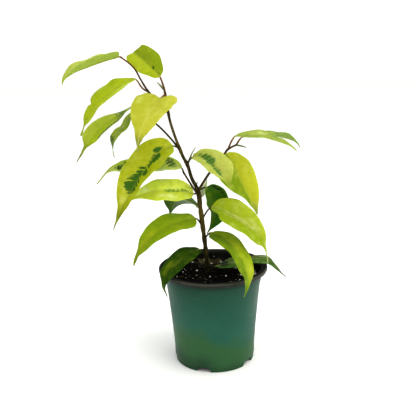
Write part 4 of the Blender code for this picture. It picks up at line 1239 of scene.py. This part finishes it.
@dataclass(frozen=True)
class PlasticFinish:
    """Injection-moulded polypropylene: a satin skin, teal green outside and near black on the lip.

    The green turns to olive low down; the wall is darker at its top and foot, partly as painted shade,
    and has painted shade under the lip. The lip has scuffs with painted sheen and a painted highlight
    on its outer edge, and fine flow lines run round the wall.
    """

    upper: str = "#0C4734"
    middle: str = "#1C5B49"
    lower: str = "#2E5E34"
    foot: str = "#1A4626"
    under_lip_shade: str = "#04150C"
    dark: str = "#11120D"
    scuffs_and_sheen: str = "#3E4034"
    lip_edge_highlight: str = "#4A4C40"
    dust: str = "#7E9A86"

    def wall(self) -> bpy.types.Material:
        """Build the green wall's material.

        Returns:
            The material.
        """
        made, shader = new_material("moulded_green_polypropylene", self.middle)
        tree = made.node_tree
        space = add(tree, "ShaderNodeTexCoord").outputs["Object"]
        parts = add(tree, "ShaderNodeSeparateXYZ", links={0: space}).outputs
        height = add(tree, "ShaderNodeMapRange", {LOW: 0.0, HIGH: 0.094}, {0: parts["Z"]})
        # Slow cloudiness of the pigment, about 45 mm across
        cloud = add(tree, "ShaderNodeTexNoise", {"Scale": 22.0, "Detail": 2.0}, {"Vector": space})
        mixed = add(tree, "ShaderNodeMath", {"operation": "MULTIPLY_ADD", 1: 0.5, 2: -0.25},
                    {0: cloud.outputs[0]})
        level = add(tree, "ShaderNodeMath", {"operation": "ADD"}, {0: height.outputs[0], 1: mixed.outputs[0]})
        # The olive reaches about 12 mm higher on the -X side than on the other
        leaning = add(tree, "ShaderNodeMath", {"operation": "MULTIPLY_ADD", 1: 1.4},
                      {0: parts["X"], 2: level.outputs[0]})
        # Teal above and olive low down is the pigment; the darker top under the leaves and the darker foot
        # are partly painted shade
        ramp = add(tree, "ShaderNodeValToRGB", links={0: leaning.outputs[0]})
        stops = ramp.color_ramp.elements
        stops[0].color = linear(self.foot)
        stops[1].color = linear(self.upper)
        for position, colour in ((0.18, self.lower), (0.3, self.lower), (0.44, self.middle)):
            stops.new(position).color = linear(colour)
        # Rubbed specks and dust, 1 to 2 mm across
        dust = add(tree, "ShaderNodeTexNoise", {"Scale": 700.0, "Detail": 4.0}, {"Vector": space})
        dusted = add(tree, "ShaderNodeMapRange", {LOW: 0.6, HIGH: 0.8, AT_HIGH: 0.16}, {0: dust.outputs[0]})
        # Painted shade in the corner under the lip, about 5 mm deep
        corner = add(tree, "ShaderNodeMapRange", {LOW: 0.0885, HIGH: 0.0925, AT_HIGH: 0.75},
                     {0: parts["Z"]})
        colour = paint(tree, ramp.outputs[0],
                       [(dusted.outputs[0], self.dust), (corner.outputs[0], self.under_lip_shade)])
        tree.links.new(colour, shader.inputs["Base Color"])
        rough = add(tree, "ShaderNodeMapRange", {LOW: 0.3, HIGH: 0.7, AT_LOW: 0.36, AT_HIGH: 0.5},
                    {0: cloud.outputs[0]})
        tree.links.new(rough.outputs[0], shader.inputs["Roughness"])
        # Flow lines about 1.5 mm apart, drawn coarser than life
        flow = add(tree, "ShaderNodeVectorMath", {"operation": "MULTIPLY", 1: (20, 20, 650)}, {0: space})
        lines = add(tree, "ShaderNodeTexNoise", {"Scale": 1.0, "Detail": 2.0}, {"Vector": flow.outputs[0]})
        bump = add(tree, "ShaderNodeBump", {"Strength": 0.08, "Distance": 0.0004},
                   {"Height": lines.outputs[0]})
        tree.links.new(bump.outputs[0], shader.inputs["Normal"])
        shader.inputs["Specular IOR Level"].default_value = 0.28
        return made

    def lip(self) -> bpy.types.Material:
        """Build the dark lip's and the inside's material, grey-brown in places from scuffs and painted sheen.

        Returns:
            The material.
        """
        made, shader = new_material("moulded_black_polypropylene", self.dark)
        tree = made.node_tree
        space = add(tree, "ShaderNodeTexCoord").outputs["Object"]
        flat = add(tree, "ShaderNodeVectorMath", {"operation": "MULTIPLY", 1: (1, 1, 0)}, {0: space})
        reach = add(tree, "ShaderNodeVectorMath", {"operation": "LENGTH"},
                    {0: flat.outputs[0]}).outputs["Value"]
        # Scuffs 8 mm across with fine grain in them, with painted sheen, most of them on the lip's outer face
        scuff = add(tree, "ShaderNodeTexNoise", {"Scale": 120.0, "Detail": 6.0, "Roughness": 0.65},
                    {"Vector": space})
        outside = add(tree, "ShaderNodeMapRange", {LOW: 0.054, HIGH: 0.0548, AT_LOW: 0.12, AT_HIGH: 0.5},
                      {0: reach})
        scuffs_and_sheen = add(tree, "ShaderNodeMapRange", {LOW: 0.4, HIGH: 0.7},
                      {0: scuff.outputs[0], AT_HIGH: outside.outputs[0]})
        # A painted highlight along the lip's outer edge, 1 mm wide
        height = add(tree, "ShaderNodeSeparateXYZ", links={0: space}).outputs["Z"]
        edge = add(tree, "ShaderNodeMath", {"operation": "ADD"}, {0: reach, 1: height})
        lip_edge_highlight_mask = add(tree, "ShaderNodeMapRange", {LOW: 0.151, HIGH: 0.152, AT_HIGH: 0.8},
                     {0: edge.outputs[0]})
        colour = paint(tree, self.dark, [(scuffs_and_sheen.outputs[0], self.scuffs_and_sheen), (lip_edge_highlight_mask.outputs[0], self.lip_edge_highlight)])
        tree.links.new(colour, shader.inputs["Base Color"])
        rough = add(tree, "ShaderNodeMapRange", {LOW: 0.3, HIGH: 0.7, AT_LOW: 0.28, AT_HIGH: 0.45},
                    {0: scuff.outputs[0]})
        tree.links.new(rough.outputs[0], shader.inputs["Roughness"])
        shader.inputs["Specular IOR Level"].default_value = 0.3
        return made


@dataclass
class Pot:
    """A nursery pot with a turned-out lip and a notched foot, in millimetres.

    Outer is the wall's outer section, radius and height. The first notch stands at notch_first
    degrees from the front, and each is notch_half wide to either side, with its slope at the sides.
    """

    wall: float = 1.3
    lip_radius: float = 55.0
    lip_under: float = 94.3
    lip_top: float = 98.0
    foot_radius: float = 40.3
    floor_under: float = 5.2
    floor_top: float = 6.8
    pad_radius: float = 7.0
    notches: int = 5
    notch_first: float = 55.0
    notch_half: float = 8.0
    notch_slope: float = 2.6
    notch_height: float = 4.4
    notch_steps: int = 5
    foot_step: float = 6.6
    columns: int = 120
    drains: int = 4
    drain_first: float = 45.0
    drain_radius: float = 4.5
    drain_at: float = 22.0
    finish: PlasticFinish = PlasticFinish()
    outer: Sequence[Point] = ((40.3, 0.0), (40.5, 4.5), (41.1, 6.0), (41.2, 14.0), (42.9, 37.0),
                              (45.2, 61.0), (47.8, 83.6), (48.5, 84.4), (48.8, 93.8))

    def inner_radius(self, z: float) -> float:
        """Read the radius of the pot's inside.

        Args:
            z: The height.

        Returns:
            The radius.
        """
        heights = [p[1] for p in self.outer]
        radii = [p[0] for p in self.outer]
        return float(np.interp(z, heights, radii)) - self.wall

    def _notch_middles(self) -> list[float]:
        """Azimuths of the notches' middles, in radians from +X."""
        return [math.radians(self.notch_first - 90) + 2 * math.pi * k / self.notches
                for k in range(self.notches)]

    def _notch(self, angle: float) -> float:
        """Height of the foot's lower edge.

        Args:
            angle: Azimuth in radians from +X.

        Returns:
            The height, 0 between the notches.
        """
        step = 2 * math.pi / self.notches
        off = (angle - self._notch_middles()[0] + step / 2) % step - step / 2
        away = abs(off) * self.foot_radius
        rise = (self.notch_half - away) / self.notch_slope
        share = max(0.0, min(1.0, rise))
        return self.notch_height * share * share * (3 - 2 * share)

    def _section(self) -> list[tuple[float, float, int]]:
        """List the wall's section from the foot's inside, up over the lip and down inside.

        Returns:
            Radius, height and the material slot of the face that starts there.
        """
        foot = self.foot_radius
        section = [
            # The foot's inner faces take the dark material of the inside, which also serves as painted shade
            # seen through the notches
            (foot - 2.0, self.floor_under, 1), (foot - 1.85, 2.2, 1), (foot - 1.8, 0.25, 1),
            (foot - 1.6, 0.0, 0), (foot - 0.3, 0.0, 0), (foot, 0.3, 0), (foot + 0.1, 2.4, 0),
            (foot + 0.2, 4.3, 0), (foot + 0.35, 5.1, 0), (foot + 0.75, 5.8, 0),
            (foot + 0.85, self.foot_step, 0)]
        section += [(self.inner_radius(z) + self.wall, z, 0)
                    for z in (14.0, 25.5, 37.0, 49.0, 61.0, 72.5, 83.0)]
        collar = self.outer[-1][0]
        section += [(collar - 0.95, 83.7, 0), (collar - 0.45, 84.1, 0), (collar - 0.3, 84.7, 0),
                    (collar - 0.15, 89.0, 0), (collar, 93.2, 0), (collar + 0.2, 93.9, 0)]
        lip = self.lip_radius
        section += [(r, z, 1) for r, z in (
            (collar + 0.7, self.lip_under), (lip - 1.1, self.lip_under), (lip - 0.3, self.lip_under + 0.3),
            (lip, self.lip_under + 1.1), (lip, self.lip_top - 1.4), (lip - 0.25, self.lip_top - 0.5),
            (lip - 0.9, self.lip_top), (collar + 1.5, self.lip_top), (collar + 0.5, self.lip_top - 0.35),
            (collar - 0.4, self.lip_top - 1.3), (collar - 0.95, self.lip_top - 2.6),
            (collar - 1.25, self.lip_top - 4.4))]
        section += [(self.inner_radius(z), z, 1) for z in (84.4, 72.0, 61.0, 49.0, 37.0, 25.0, 14.0)]
        section.append((self._floor_radius(), self.floor_top, 1))
        return section

    def _floor_radius(self) -> float:
        """Radius of the base's top, where it meets the wall."""
        return self.inner_radius(self.floor_top) - 0.5

    def _angles(self) -> list[float]:
        """Place the wall's columns, closer together at the notches' sides.

        Returns:
            Their azimuths in radians.
        """
        angles = [2 * math.pi * k / self.columns for k in range(self.columns)]
        for middle in self._notch_middles():
            for side in (-1, 1):
                for k in range(self.notch_steps + 1):
                    away = self.notch_half - self.notch_slope * k / self.notch_steps
                    angles.append(middle + side * away / self.foot_radius)
        spread = sorted(a % (2 * math.pi) for a in angles)
        kept = [spread[0]]
        least_apart = 0.004
        for a in spread[1:]:
            if a - kept[-1] > least_apart:
                kept.append(a)
        return kept

    def _walls(self, draft: MeshDraft) -> None:
        """Add the wall, the lip and the foot.

        Args:
            draft: The pot's mesh.
        """
        section = self._section()
        angles = self._angles()
        # Points of the section that a notch lifts: those of the foot, of which the first four face inwards
        foot_points, inward_points = 11, 4
        points = []
        for a in angles:
            raised = self._notch(a)
            for k, (r, z, _) in enumerate(section):
                if 0 < k < foot_points and z < self.foot_step:
                    roof = self.floor_under if k < inward_points else self.foot_step
                    z = raised + z * (roof - raised) / roof
                points.append((r * math.cos(a), r * math.sin(a), z))
        draft.put(points, [])
        count = len(section)
        for j, (_, _, slot) in enumerate(section[:-1]):
            for k in range(len(angles)):
                here, there = k * count + j, (k + 1) % len(angles) * count + j
                draft.faces.append((here, there, there + 1, here + 1))
                draft.slots.append(slot)

    def _drain_middles(self) -> list[tuple[float, float]]:
        """Middles of the drain holes."""
        turns = [math.radians(self.drain_first + k * 360 / self.drains) for k in range(self.drains)]
        return [(self.drain_at * math.cos(a), self.drain_at * math.sin(a)) for a in turns]

    def _floor(self, draft: MeshDraft) -> None:
        """Add the base plate with its drain holes and its middle boss.

        Args:
            draft: The pot's mesh.
        """
        rim_sides, drain_sides, pad_sides = 96, 32, 48
        work = bmesh.new()
        for z, edge in ((self.floor_top, self._floor_radius()), (self.floor_under, self.foot_radius - 2.0)):
            rims = [self._circle(work, 0, 0, edge, z, rim_sides)]
            rims += [self._circle(work, x, y, self.drain_radius, z, drain_sides)
                     for x, y in self._drain_middles()]
            if z == self.floor_under:
                rims.append(self._circle(work, 0, 0, self.pad_radius, z, pad_sides))
            bmesh.ops.triangle_fill(work, use_beauty=True, edges=[e for rim in rims for e in rim])
        points = [tuple(v.co) for v in work.verts]
        faces = [tuple(v.index for v in f.verts) for f in work.faces]
        work.free()
        # The base plate and its sleeves take the dark material; underneath, this also serves as painted shade
        # seen through the notches
        draft.put(points, faces, slot=1)
        for x, y in self._drain_middles():
            self._sleeve(draft, x, y, self.drain_radius, self.floor_under, self.floor_top, drain_sides, False)
        self._sleeve(draft, 0, 0, self.pad_radius, 0.0, self.floor_under, pad_sides, True)

    @staticmethod
    def _circle(work: bmesh.types.BMesh, x: float, y: float, radius: float, z: float, sides: int) -> list:
        """Draw a ring of edges.

        Args:
            work: The mesh that it goes into.
            x: Its middle.
            y: Its middle.
            radius: Its radius.
            z: Its height.
            sides: Its number of sides.

        Returns:
            The edges.
        """
        verts = [work.verts.new((x + radius * math.cos(2 * math.pi * k / sides),
                                 y + radius * math.sin(2 * math.pi * k / sides), z)) for k in range(sides)]
        work.verts.index_update()
        return [work.edges.new((verts[k], verts[(k + 1) % sides])) for k in range(sides)]

    @staticmethod
    def _sleeve(draft: MeshDraft, x: float, y: float, radius: float, low: float, high: float,
                sides: int, closed: bool) -> None:
        """Add a short upright round wall.

        Args:
            draft: The pot's mesh.
            x: Its middle.
            y: Its middle.
            radius: Its radius.
            low: Its lower edge.
            high: Its upper edge.
            sides: Its number of sides.
            closed: True to close it below.
        """
        points = []
        for z in (low, high):
            for k in range(sides):
                a = 2 * math.pi * k / sides
                points.append((x + radius * math.cos(a), y + radius * math.sin(a), z))
        faces: list = [(k, (k + 1) % sides, sides + (k + 1) % sides, sides + k) for k in range(sides)]
        if closed:
            faces.append(tuple(range(sides - 1, -1, -1)))
        draft.put(points, faces, slot=1)

    def build(self) -> None:
        """Make the pot and put it under the plant."""
        draft = MeshDraft()
        self._walls(draft)
        self._floor(draft)
        piece = draft.piece("pot_moulded", [self.finish.wall(), self.finish.lip()], sharp=35)
        work = bmesh.new()
        work.from_mesh(piece.data)
        bmesh.ops.remove_doubles(work, verts=work.verts, dist=0.01 * MM)
        bmesh.ops.recalc_face_normals(work, faces=work.faces)
        work.to_mesh(piece.data)
        work.free()
        settle(piece, "pot_plastic", "pot")


# Soil

@dataclass(frozen=True)
class SoilFinish:
    """Peat and bark mix, milled and damp: near black, rough, with a little brown fibre in it."""

    peat: str = "#0E0B08"
    bark: str = "#21180F"
    perlite: str = "#F2F0E8"
    pit: str = "#B4B0A6"
    coir: str = "#4A401E"
    bleached: str = "#A09460"

    def mix(self) -> bpy.types.Material:
        """Build the peat's material.

        Returns:
            The material.
        """
        made, shader = new_material("milled_damp_peat", self.peat)
        tree = made.node_tree
        space = add(tree, "ShaderNodeTexCoord").outputs["Object"]
        # Bark chips 2 mm across among crumbs of 0.6 mm
        chips = add(tree, "ShaderNodeTexVoronoi", {"Scale": 450.0}, {"Vector": space})
        parts = add(tree, "ShaderNodeSeparateXYZ", links={0: chips.outputs["Color"]}).outputs
        some = add(tree, "ShaderNodeMapRange", {LOW: 0.72, HIGH: 0.95, AT_HIGH: 0.8}, {0: parts["X"]})
        tree.links.new(paint(tree, self.peat, [(some.outputs[0], self.bark)]), shader.inputs["Base Color"])
        crumbs = add(tree, "ShaderNodeTexNoise", {"Scale": 1600.0, "Detail": 5.0, "Roughness": 0.7},
                     {"Vector": space})
        bump = add(tree, "ShaderNodeBump", {"Strength": 0.9, "Distance": 0.0006},
                   {"Height": crumbs.outputs[0]})
        tree.links.new(bump.outputs[0], shader.inputs["Normal"])
        shader.inputs["Roughness"].default_value = 0.95
        shader.inputs["Specular IOR Level"].default_value = 0.12
        return made

    def grain(self) -> bpy.types.Material:
        """Build the puffed perlite's material, a white glass foam with grey pits.

        Returns:
            The material.
        """
        made, shader = new_material("puffed_perlite", self.perlite)
        tree = made.node_tree
        space = add(tree, "ShaderNodeTexCoord").outputs["Object"]
        # Burst bubbles 0.4 mm apart
        pits = add(tree, "ShaderNodeTexVoronoi", {"Scale": 2600.0}, {"Vector": space})
        colour = paint(tree, self.pit, [(pits.outputs["Distance"], self.perlite)])
        tree.links.new(colour, shader.inputs["Base Color"])
        bump = add(tree, "ShaderNodeBump", {"Strength": 0.7, "Distance": 0.0003}, {"Height": pits.outputs[0]})
        tree.links.new(bump.outputs[0], shader.inputs["Normal"])
        shader.inputs["Roughness"].default_value = 0.8
        return made

    def fibre(self) -> bpy.types.Material:
        """Build the dry fibre's material, brown and bleached in stretches.

        Returns:
            The material.
        """
        made, shader = new_material("dry_coir_fibre", self.coir)
        tree = made.node_tree
        space = add(tree, "ShaderNodeTexCoord").outputs["Object"]
        # Stretches about 3 mm long
        shade = add(tree, "ShaderNodeTexNoise", {"Scale": 300.0, "Detail": 3.0}, {"Vector": space})
        colour = paint(tree, self.coir, [(shade.outputs[0], self.bleached)])
        tree.links.new(colour, shader.inputs["Base Color"])
        shader.inputs["Roughness"].default_value = 0.9
        return made


@dataclass
class Soil:
    """The potting mix in the pot, with crumbs, perlite and fibres lying on it, in millimetres.

    Top is the surface's middle height and gap its distance from the wall. Mound and rough are the
    heights of its slow waves and of its crumbly surface. Seen grains are x, y and half size.
    """

    pot: Pot
    top: float = 92.6
    gap: float = 0.35
    mound: float = 0.54
    rough: float = 0.55
    rough_turn: float = 0.35
    sides: int = 150
    rings: int = 48
    lift: float = 0.3
    crumbs: int = 420
    grains: int = 64
    fibres: int = 90
    fibres_behind: int = 66
    fibres_within: float = 41.0
    seed: int = 11
    finish: SoilFinish = SoilFinish()
    seen_grains: Sequence[Point] = (
        (-16.3, -2, 1.4), (-3.3, -17.5, 1.1), (23.5, 4.5, 1.2), (-1.5, 21.5, 1.4), (27.5, -16.5, 1.4),
        (41.5, -14.5, 1.6), (25.5, -30.5, 1.4), (-30.5, -4, 0.9), (-36, -18, 1.0), (-24.5, -35, 1.0),
        (-21.5, 26.5, 1.1), (8.5, 24, 1.2), (12.5, -18.5, 1.1), (-9, 33, 1.0), (36, 22, 1.1))

    # Only edges over this angle in degrees stay sharp, so crumbs and grains look soft
    SOFT = 80

    def _height(self, x: float, y: float) -> float:
        """Read the surface's height.

        Args:
            x: Place across.
            y: Place in depth.

        Returns:
            The height.
        """
        wave = math.sin(0.21 * x + 1.1) * math.cos(0.17 * y - 0.4) + 0.5 * math.sin(0.33 * x - 0.29 * y)
        crumbly = noise.fractal(Vector((x * self.rough_turn, y * self.rough_turn, 4.0)), 0.9, 2.1, 5)
        return self.top + self.mound * wave + self.rough * crumbly

    def _ring(self, radius: float) -> list[tuple[float, float]]:
        """Places round the pot's middle at a radius."""
        turns = [2 * math.pi * k / self.sides for k in range(self.sides)]
        return [(radius * math.cos(a), radius * math.sin(a)) for a in turns]

    def _bed(self, draft: MeshDraft) -> None:
        """Add the bed: a rough top on a plain body that fills the pot.

        Args:
            draft: The soil's mesh.
        """
        edge = self.pot.inner_radius(self.top) - self.gap
        bottom = self.pot.floor_top + self.lift
        points: list = [(0.0, 0.0, self._height(0, 0))]
        for i in range(1, self.rings + 1):
            points += [(x, y, self._height(x, y)) for x, y in self._ring(edge * i / self.rings)]
        below = [(z, self.pot.inner_radius(z) - self.gap) for z in (84.4, 61.0, 37.0, 14.0)]
        below.append((bottom, self.pot.inner_radius(bottom) - self.gap - 0.5))
        for z, radius in below:
            points += [(x, y, z) for x, y in self._ring(radius)]
        points.append((0.0, 0.0, bottom))
        faces: list = [(0, 1 + k, 1 + (k + 1) % self.sides) for k in range(self.sides)]
        joins = self.rings + len(below) - 1
        for i in range(joins):
            for k in range(self.sides):
                n = (k + 1) % self.sides
                a, b = 1 + i * self.sides + k, 1 + i * self.sides + n
                faces.append((a, a + self.sides, b + self.sides, b))
        last = 1 + joins * self.sides
        faces += [(len(points) - 1, last + (k + 1) % self.sides, last + k) for k in range(self.sides)]
        draft.put(points, faces)

    def _scattered(self, dice: random.Random, margin: float) -> tuple[float, float]:
        """Pick a place on the bed.

        Args:
            dice: Source of the place.
            margin: How far it stays from the pot's wall.

        Returns:
            x and y.
        """
        r = (self.pot.inner_radius(self.top) - margin) * math.sqrt(dice.random())
        a = dice.uniform(0, 2 * math.pi)
        return r * math.cos(a), r * math.sin(a)

    @staticmethod
    def _lump(dice: random.Random, middle: Vector, size: Vector, fine: int,
              rough: float) -> tuple[list, list]:
        """Build one irregular crumb.

        Args:
            dice: Source of the lump's shape.
            middle: Its middle.
            size: Its half lengths.
            fine: Steps of subdivision.
            rough: How far its surface departs from round.

        Returns:
            Its points and faces.
        """
        work = bmesh.new()
        bmesh.ops.create_icosphere(work, subdivisions=fine, radius=1.0)
        spun = Matrix.Rotation(dice.uniform(0, 6.28), 3, "Z")
        turn = spun @ Matrix.Rotation(dice.uniform(-0.6, 0.6), 3, "X")
        shift = Vector((dice.uniform(0, 99), dice.uniform(0, 99), dice.uniform(0, 99)))
        points = []
        for v in work.verts:
            grown = 1 + rough * noise.noise(v.co * 1.7 + shift)
            local = Vector((v.co.x * size.x, v.co.y * size.y, v.co.z * size.z)) * grown
            points.append(middle + turn @ local)
        faces = [tuple(v.index for v in f.verts) for f in work.faces]
        work.free()
        return points, faces

    def _crumbs(self, draft: MeshDraft, dice: random.Random) -> None:
        """Scatter crumbs of peat and bark over the bed.

        Args:
            draft: The soil's mesh.
            dice: Source of their places.
        """
        for _ in range(self.crumbs):
            x, y = self._scattered(dice, margin=2.2)
            size = Vector((dice.uniform(0.4, 1.3), dice.uniform(0.35, 0.8), dice.uniform(0.3, 0.6)))
            middle = Vector((x, y, self._height(x, y) + size.z * 0.25))
            draft.put(*self._lump(dice, middle, size, fine=1, rough=0.9))

    def _grains(self, dice: random.Random) -> bpy.types.Object:
        """Make the perlite grains, the seen ones and some more.

        Args:
            dice: Source of the other grains' places.

        Returns:
            The object.
        """
        draft = MeshDraft()
        grains = [tuple(g) for g in self.seen_grains]
        while len(grains) < self.grains:
            x, y = self._scattered(dice, margin=2.5)
            grains.append((x, y, dice.uniform(0.25, 0.65)))
        for x, y, size in grains:
            middle = Vector((x, y, self._height(x, y) + 0.35 * size))
            half = Vector((size * dice.uniform(0.8, 1.1), size * dice.uniform(0.6, 0.9), size * 0.7))
            draft.put(*self._lump(dice, middle, half, fine=2, rough=0.7))
        return draft.piece("perlite_grains", [self.finish.grain()], self.SOFT)

    def _fibres(self, dice: random.Random) -> bpy.types.Object:
        """Make the dry fibres behind the stem's foot and a few over the bed.

        Args:
            dice: Source of their shapes.

        Returns:
            The object.
        """
        draft = MeshDraft()
        for number in range(self.fibres):
            behind = number < self.fibres_behind
            r = dice.uniform(1, 14) if behind else dice.uniform(12, 40)
            a = dice.uniform(0, 2 * math.pi)
            x = -5 + r * math.cos(a)
            y = 27 + 0.8 * r * math.sin(a) if behind else -7 + r * math.sin(a)
            if math.hypot(x, y) > self.fibres_within:
                continue
            way = dice.uniform(0, 2 * math.pi)
            run = dice.uniform(2.0, 5.5)
            height = self._height(x, y)
            points = []
            for k in range(4):
                share = k / 3
                bend = 0.5 * run * math.sin(2.0 * share) * dice.uniform(0.6, 1.2)
                px = x + run * share * math.cos(way) - 0.4 * bend * math.sin(way)
                py = y + run * share * math.sin(way) + 0.4 * bend * math.cos(way)
                rise = math.sin(math.pi * share) * dice.uniform(0.3, 1.3)
                points.append((px, py, height + 0.1 + rise, dice.uniform(0.1, 0.2)))
            verts, faces, _ = tube(points, sides=5, spacing=0.7)
            draft.put(verts, faces)
        return draft.piece("coir_fibres", [self.finish.fibre()], self.SOFT)

    def build(self) -> None:
        """Make the soil and put it in the pot."""
        dice = random.Random(self.seed)
        draft = MeshDraft()
        self._bed(draft)
        self._crumbs(draft, dice)
        settle(draft.piece("soil_bed", [self.finish.mix()], self.SOFT), "potting_soil", "soil")
        settle(self._grains(dice), "potting_soil")
        settle(self._fibres(dice), "potting_soil")


# Studio

@dataclass
class Studio:
    """White floor, soft lights and the camera, in millimetres and degrees.

    Backdrop, world and mirrored are the levels of the white surroundings as seen, as they light
    the plant, and as its skin mirrors them.
    """

    eye: Point = (-3.69, -600.0, 308.6)
    pitch: float = 14.09
    roll: float = -1.33
    focal_pixels: float = 624.5
    frame_pixels: float = 416.0
    sensor: float = 36.0
    backdrop: float = 1.1
    world: float = 0.95
    mirrored: float = 0.12
    floor_reach: float = 6000.0
    exposure: float = 0.15
    gamma: float = 0.84

    def camera(self) -> None:
        """Set the camera where the photograph was taken from."""
        tilt, turn = math.radians(self.pitch), math.radians(self.roll)
        ahead = Vector((0, math.cos(tilt), -math.sin(tilt)))
        up = Vector((0, math.sin(tilt), math.cos(tilt)))
        side = Vector((1, 0, 0))
        right = math.cos(turn) * side + math.sin(turn) * up
        top = -math.sin(turn) * side + math.cos(turn) * up
        lens = bpy.data.cameras.new("studio_camera")
        lens.sensor_width = self.sensor
        lens.lens = self.focal_pixels * self.sensor / self.frame_pixels
        lens.clip_start = 0.01
        eye = bpy.data.objects.new("studio_camera", lens)
        turned = Matrix((right, top, -ahead)).transposed()
        eye.matrix_world = Matrix.Translation(Vector(self.eye) * MM) @ turned.to_4x4()
        bpy.context.scene.collection.objects.link(eye)
        bpy.context.scene.camera = eye

    def floor(self) -> None:
        """Lay the pale floor."""
        draft = MeshDraft()
        # A hair under the pot, so that the two don't share a plane
        low = -0.05
        corners = ((-1, -1), (1, -1), (1, 1), (-1, 1))
        draft.put([(x * self.floor_reach, y * self.floor_reach, low) for x, y in corners], [(0, 1, 2, 3)])
        # Matt sprayed board, so the shadows stay soft and nothing mirrors in it
        made, shader = new_material("matt_sprayed_board", "#FDFDFC")
        shader.inputs["Roughness"].default_value = 0.9
        shader.inputs["Specular IOR Level"].default_value = 0.1
        draft.piece("floor", [made])

    def _lamp(self, name: str, place: Point, aim: Point, size: float, watts: float, colour: str) -> None:
        """Hang a square soft light.

        Args:
            name: Its name.
            place: Where it hangs.
            aim: What it faces.
            size: Its width.
            watts: Its power.
            colour: Its colour in sRGB hex.
        """
        lamp = bpy.data.lights.new(name, "AREA")
        lamp.size = size * MM
        lamp.energy = watts
        lamp.color = linear(colour)[:3]
        hung = bpy.data.objects.new(name, lamp)
        hung.location = Vector(place) * MM
        hung.rotation_euler = (Vector(aim) - Vector(place)).to_track_quat("-Z", "Y").to_euler()
        bpy.context.scene.collection.objects.link(hung)

    def lights(self) -> None:
        """Set the soft key, the fill and the white surroundings."""
        self._lamp("key_softbox", place=(700, -500, 1300), aim=(-20, 0, 150), size=1200, watts=9.5,
                   colour="#FFFCF6")
        self._lamp("overhead_softbox", place=(0, 100, 1300), aim=(0, 0, 100), size=1200, watts=3.0,
                   colour="#FFFFFF")
        world = bpy.data.worlds.new("white_surroundings")
        world.use_nodes = True
        tree = world.node_tree
        ray = add(tree, "ShaderNodeLightPath")
        seen = add(tree, "ShaderNodeMapRange", {AT_LOW: self.world, AT_HIGH: self.backdrop},
                   {0: ray.outputs["Is Camera Ray"]})
        # Black flags beyond the frame keep reflections darker than the light itself
        level = add(tree, "ShaderNodeMix", {"B": self.mirrored},
                    {"Factor": ray.outputs["Is Glossy Ray"], "A": seen.outputs[0]})
        tree.links.new(level.outputs[0], tree.nodes["Background"].inputs["Strength"])
        tree.nodes["Background"].inputs["Color"].default_value = (1, 1, 1, 1)
        bpy.context.scene.world = world
        view = bpy.context.scene.view_settings
        view.view_transform = "Standard"
        view.exposure = self.exposure
        view.gamma = self.gamma


def main() -> None:
    """Build the studio, the pot, the soil, the stem and the leaves, in that order."""
    logging.basicConfig(level=logging.INFO, format="%(name)s: %(message)s")
    studio = Studio()
    studio.camera()
    studio.floor()
    studio.lights()
    pot = Pot()
    pot.build()
    Soil(pot).build()
    bark = BarkFinish()
    Stem().build(bark)
    stalks = {young: bark.stalk_material(young) for young in (False, True)}
    for name, leaf in LEAVES.items():
        leaf.build(name, stalks[leaf.young_stalk])


if __name__ == "__main__":
    main()
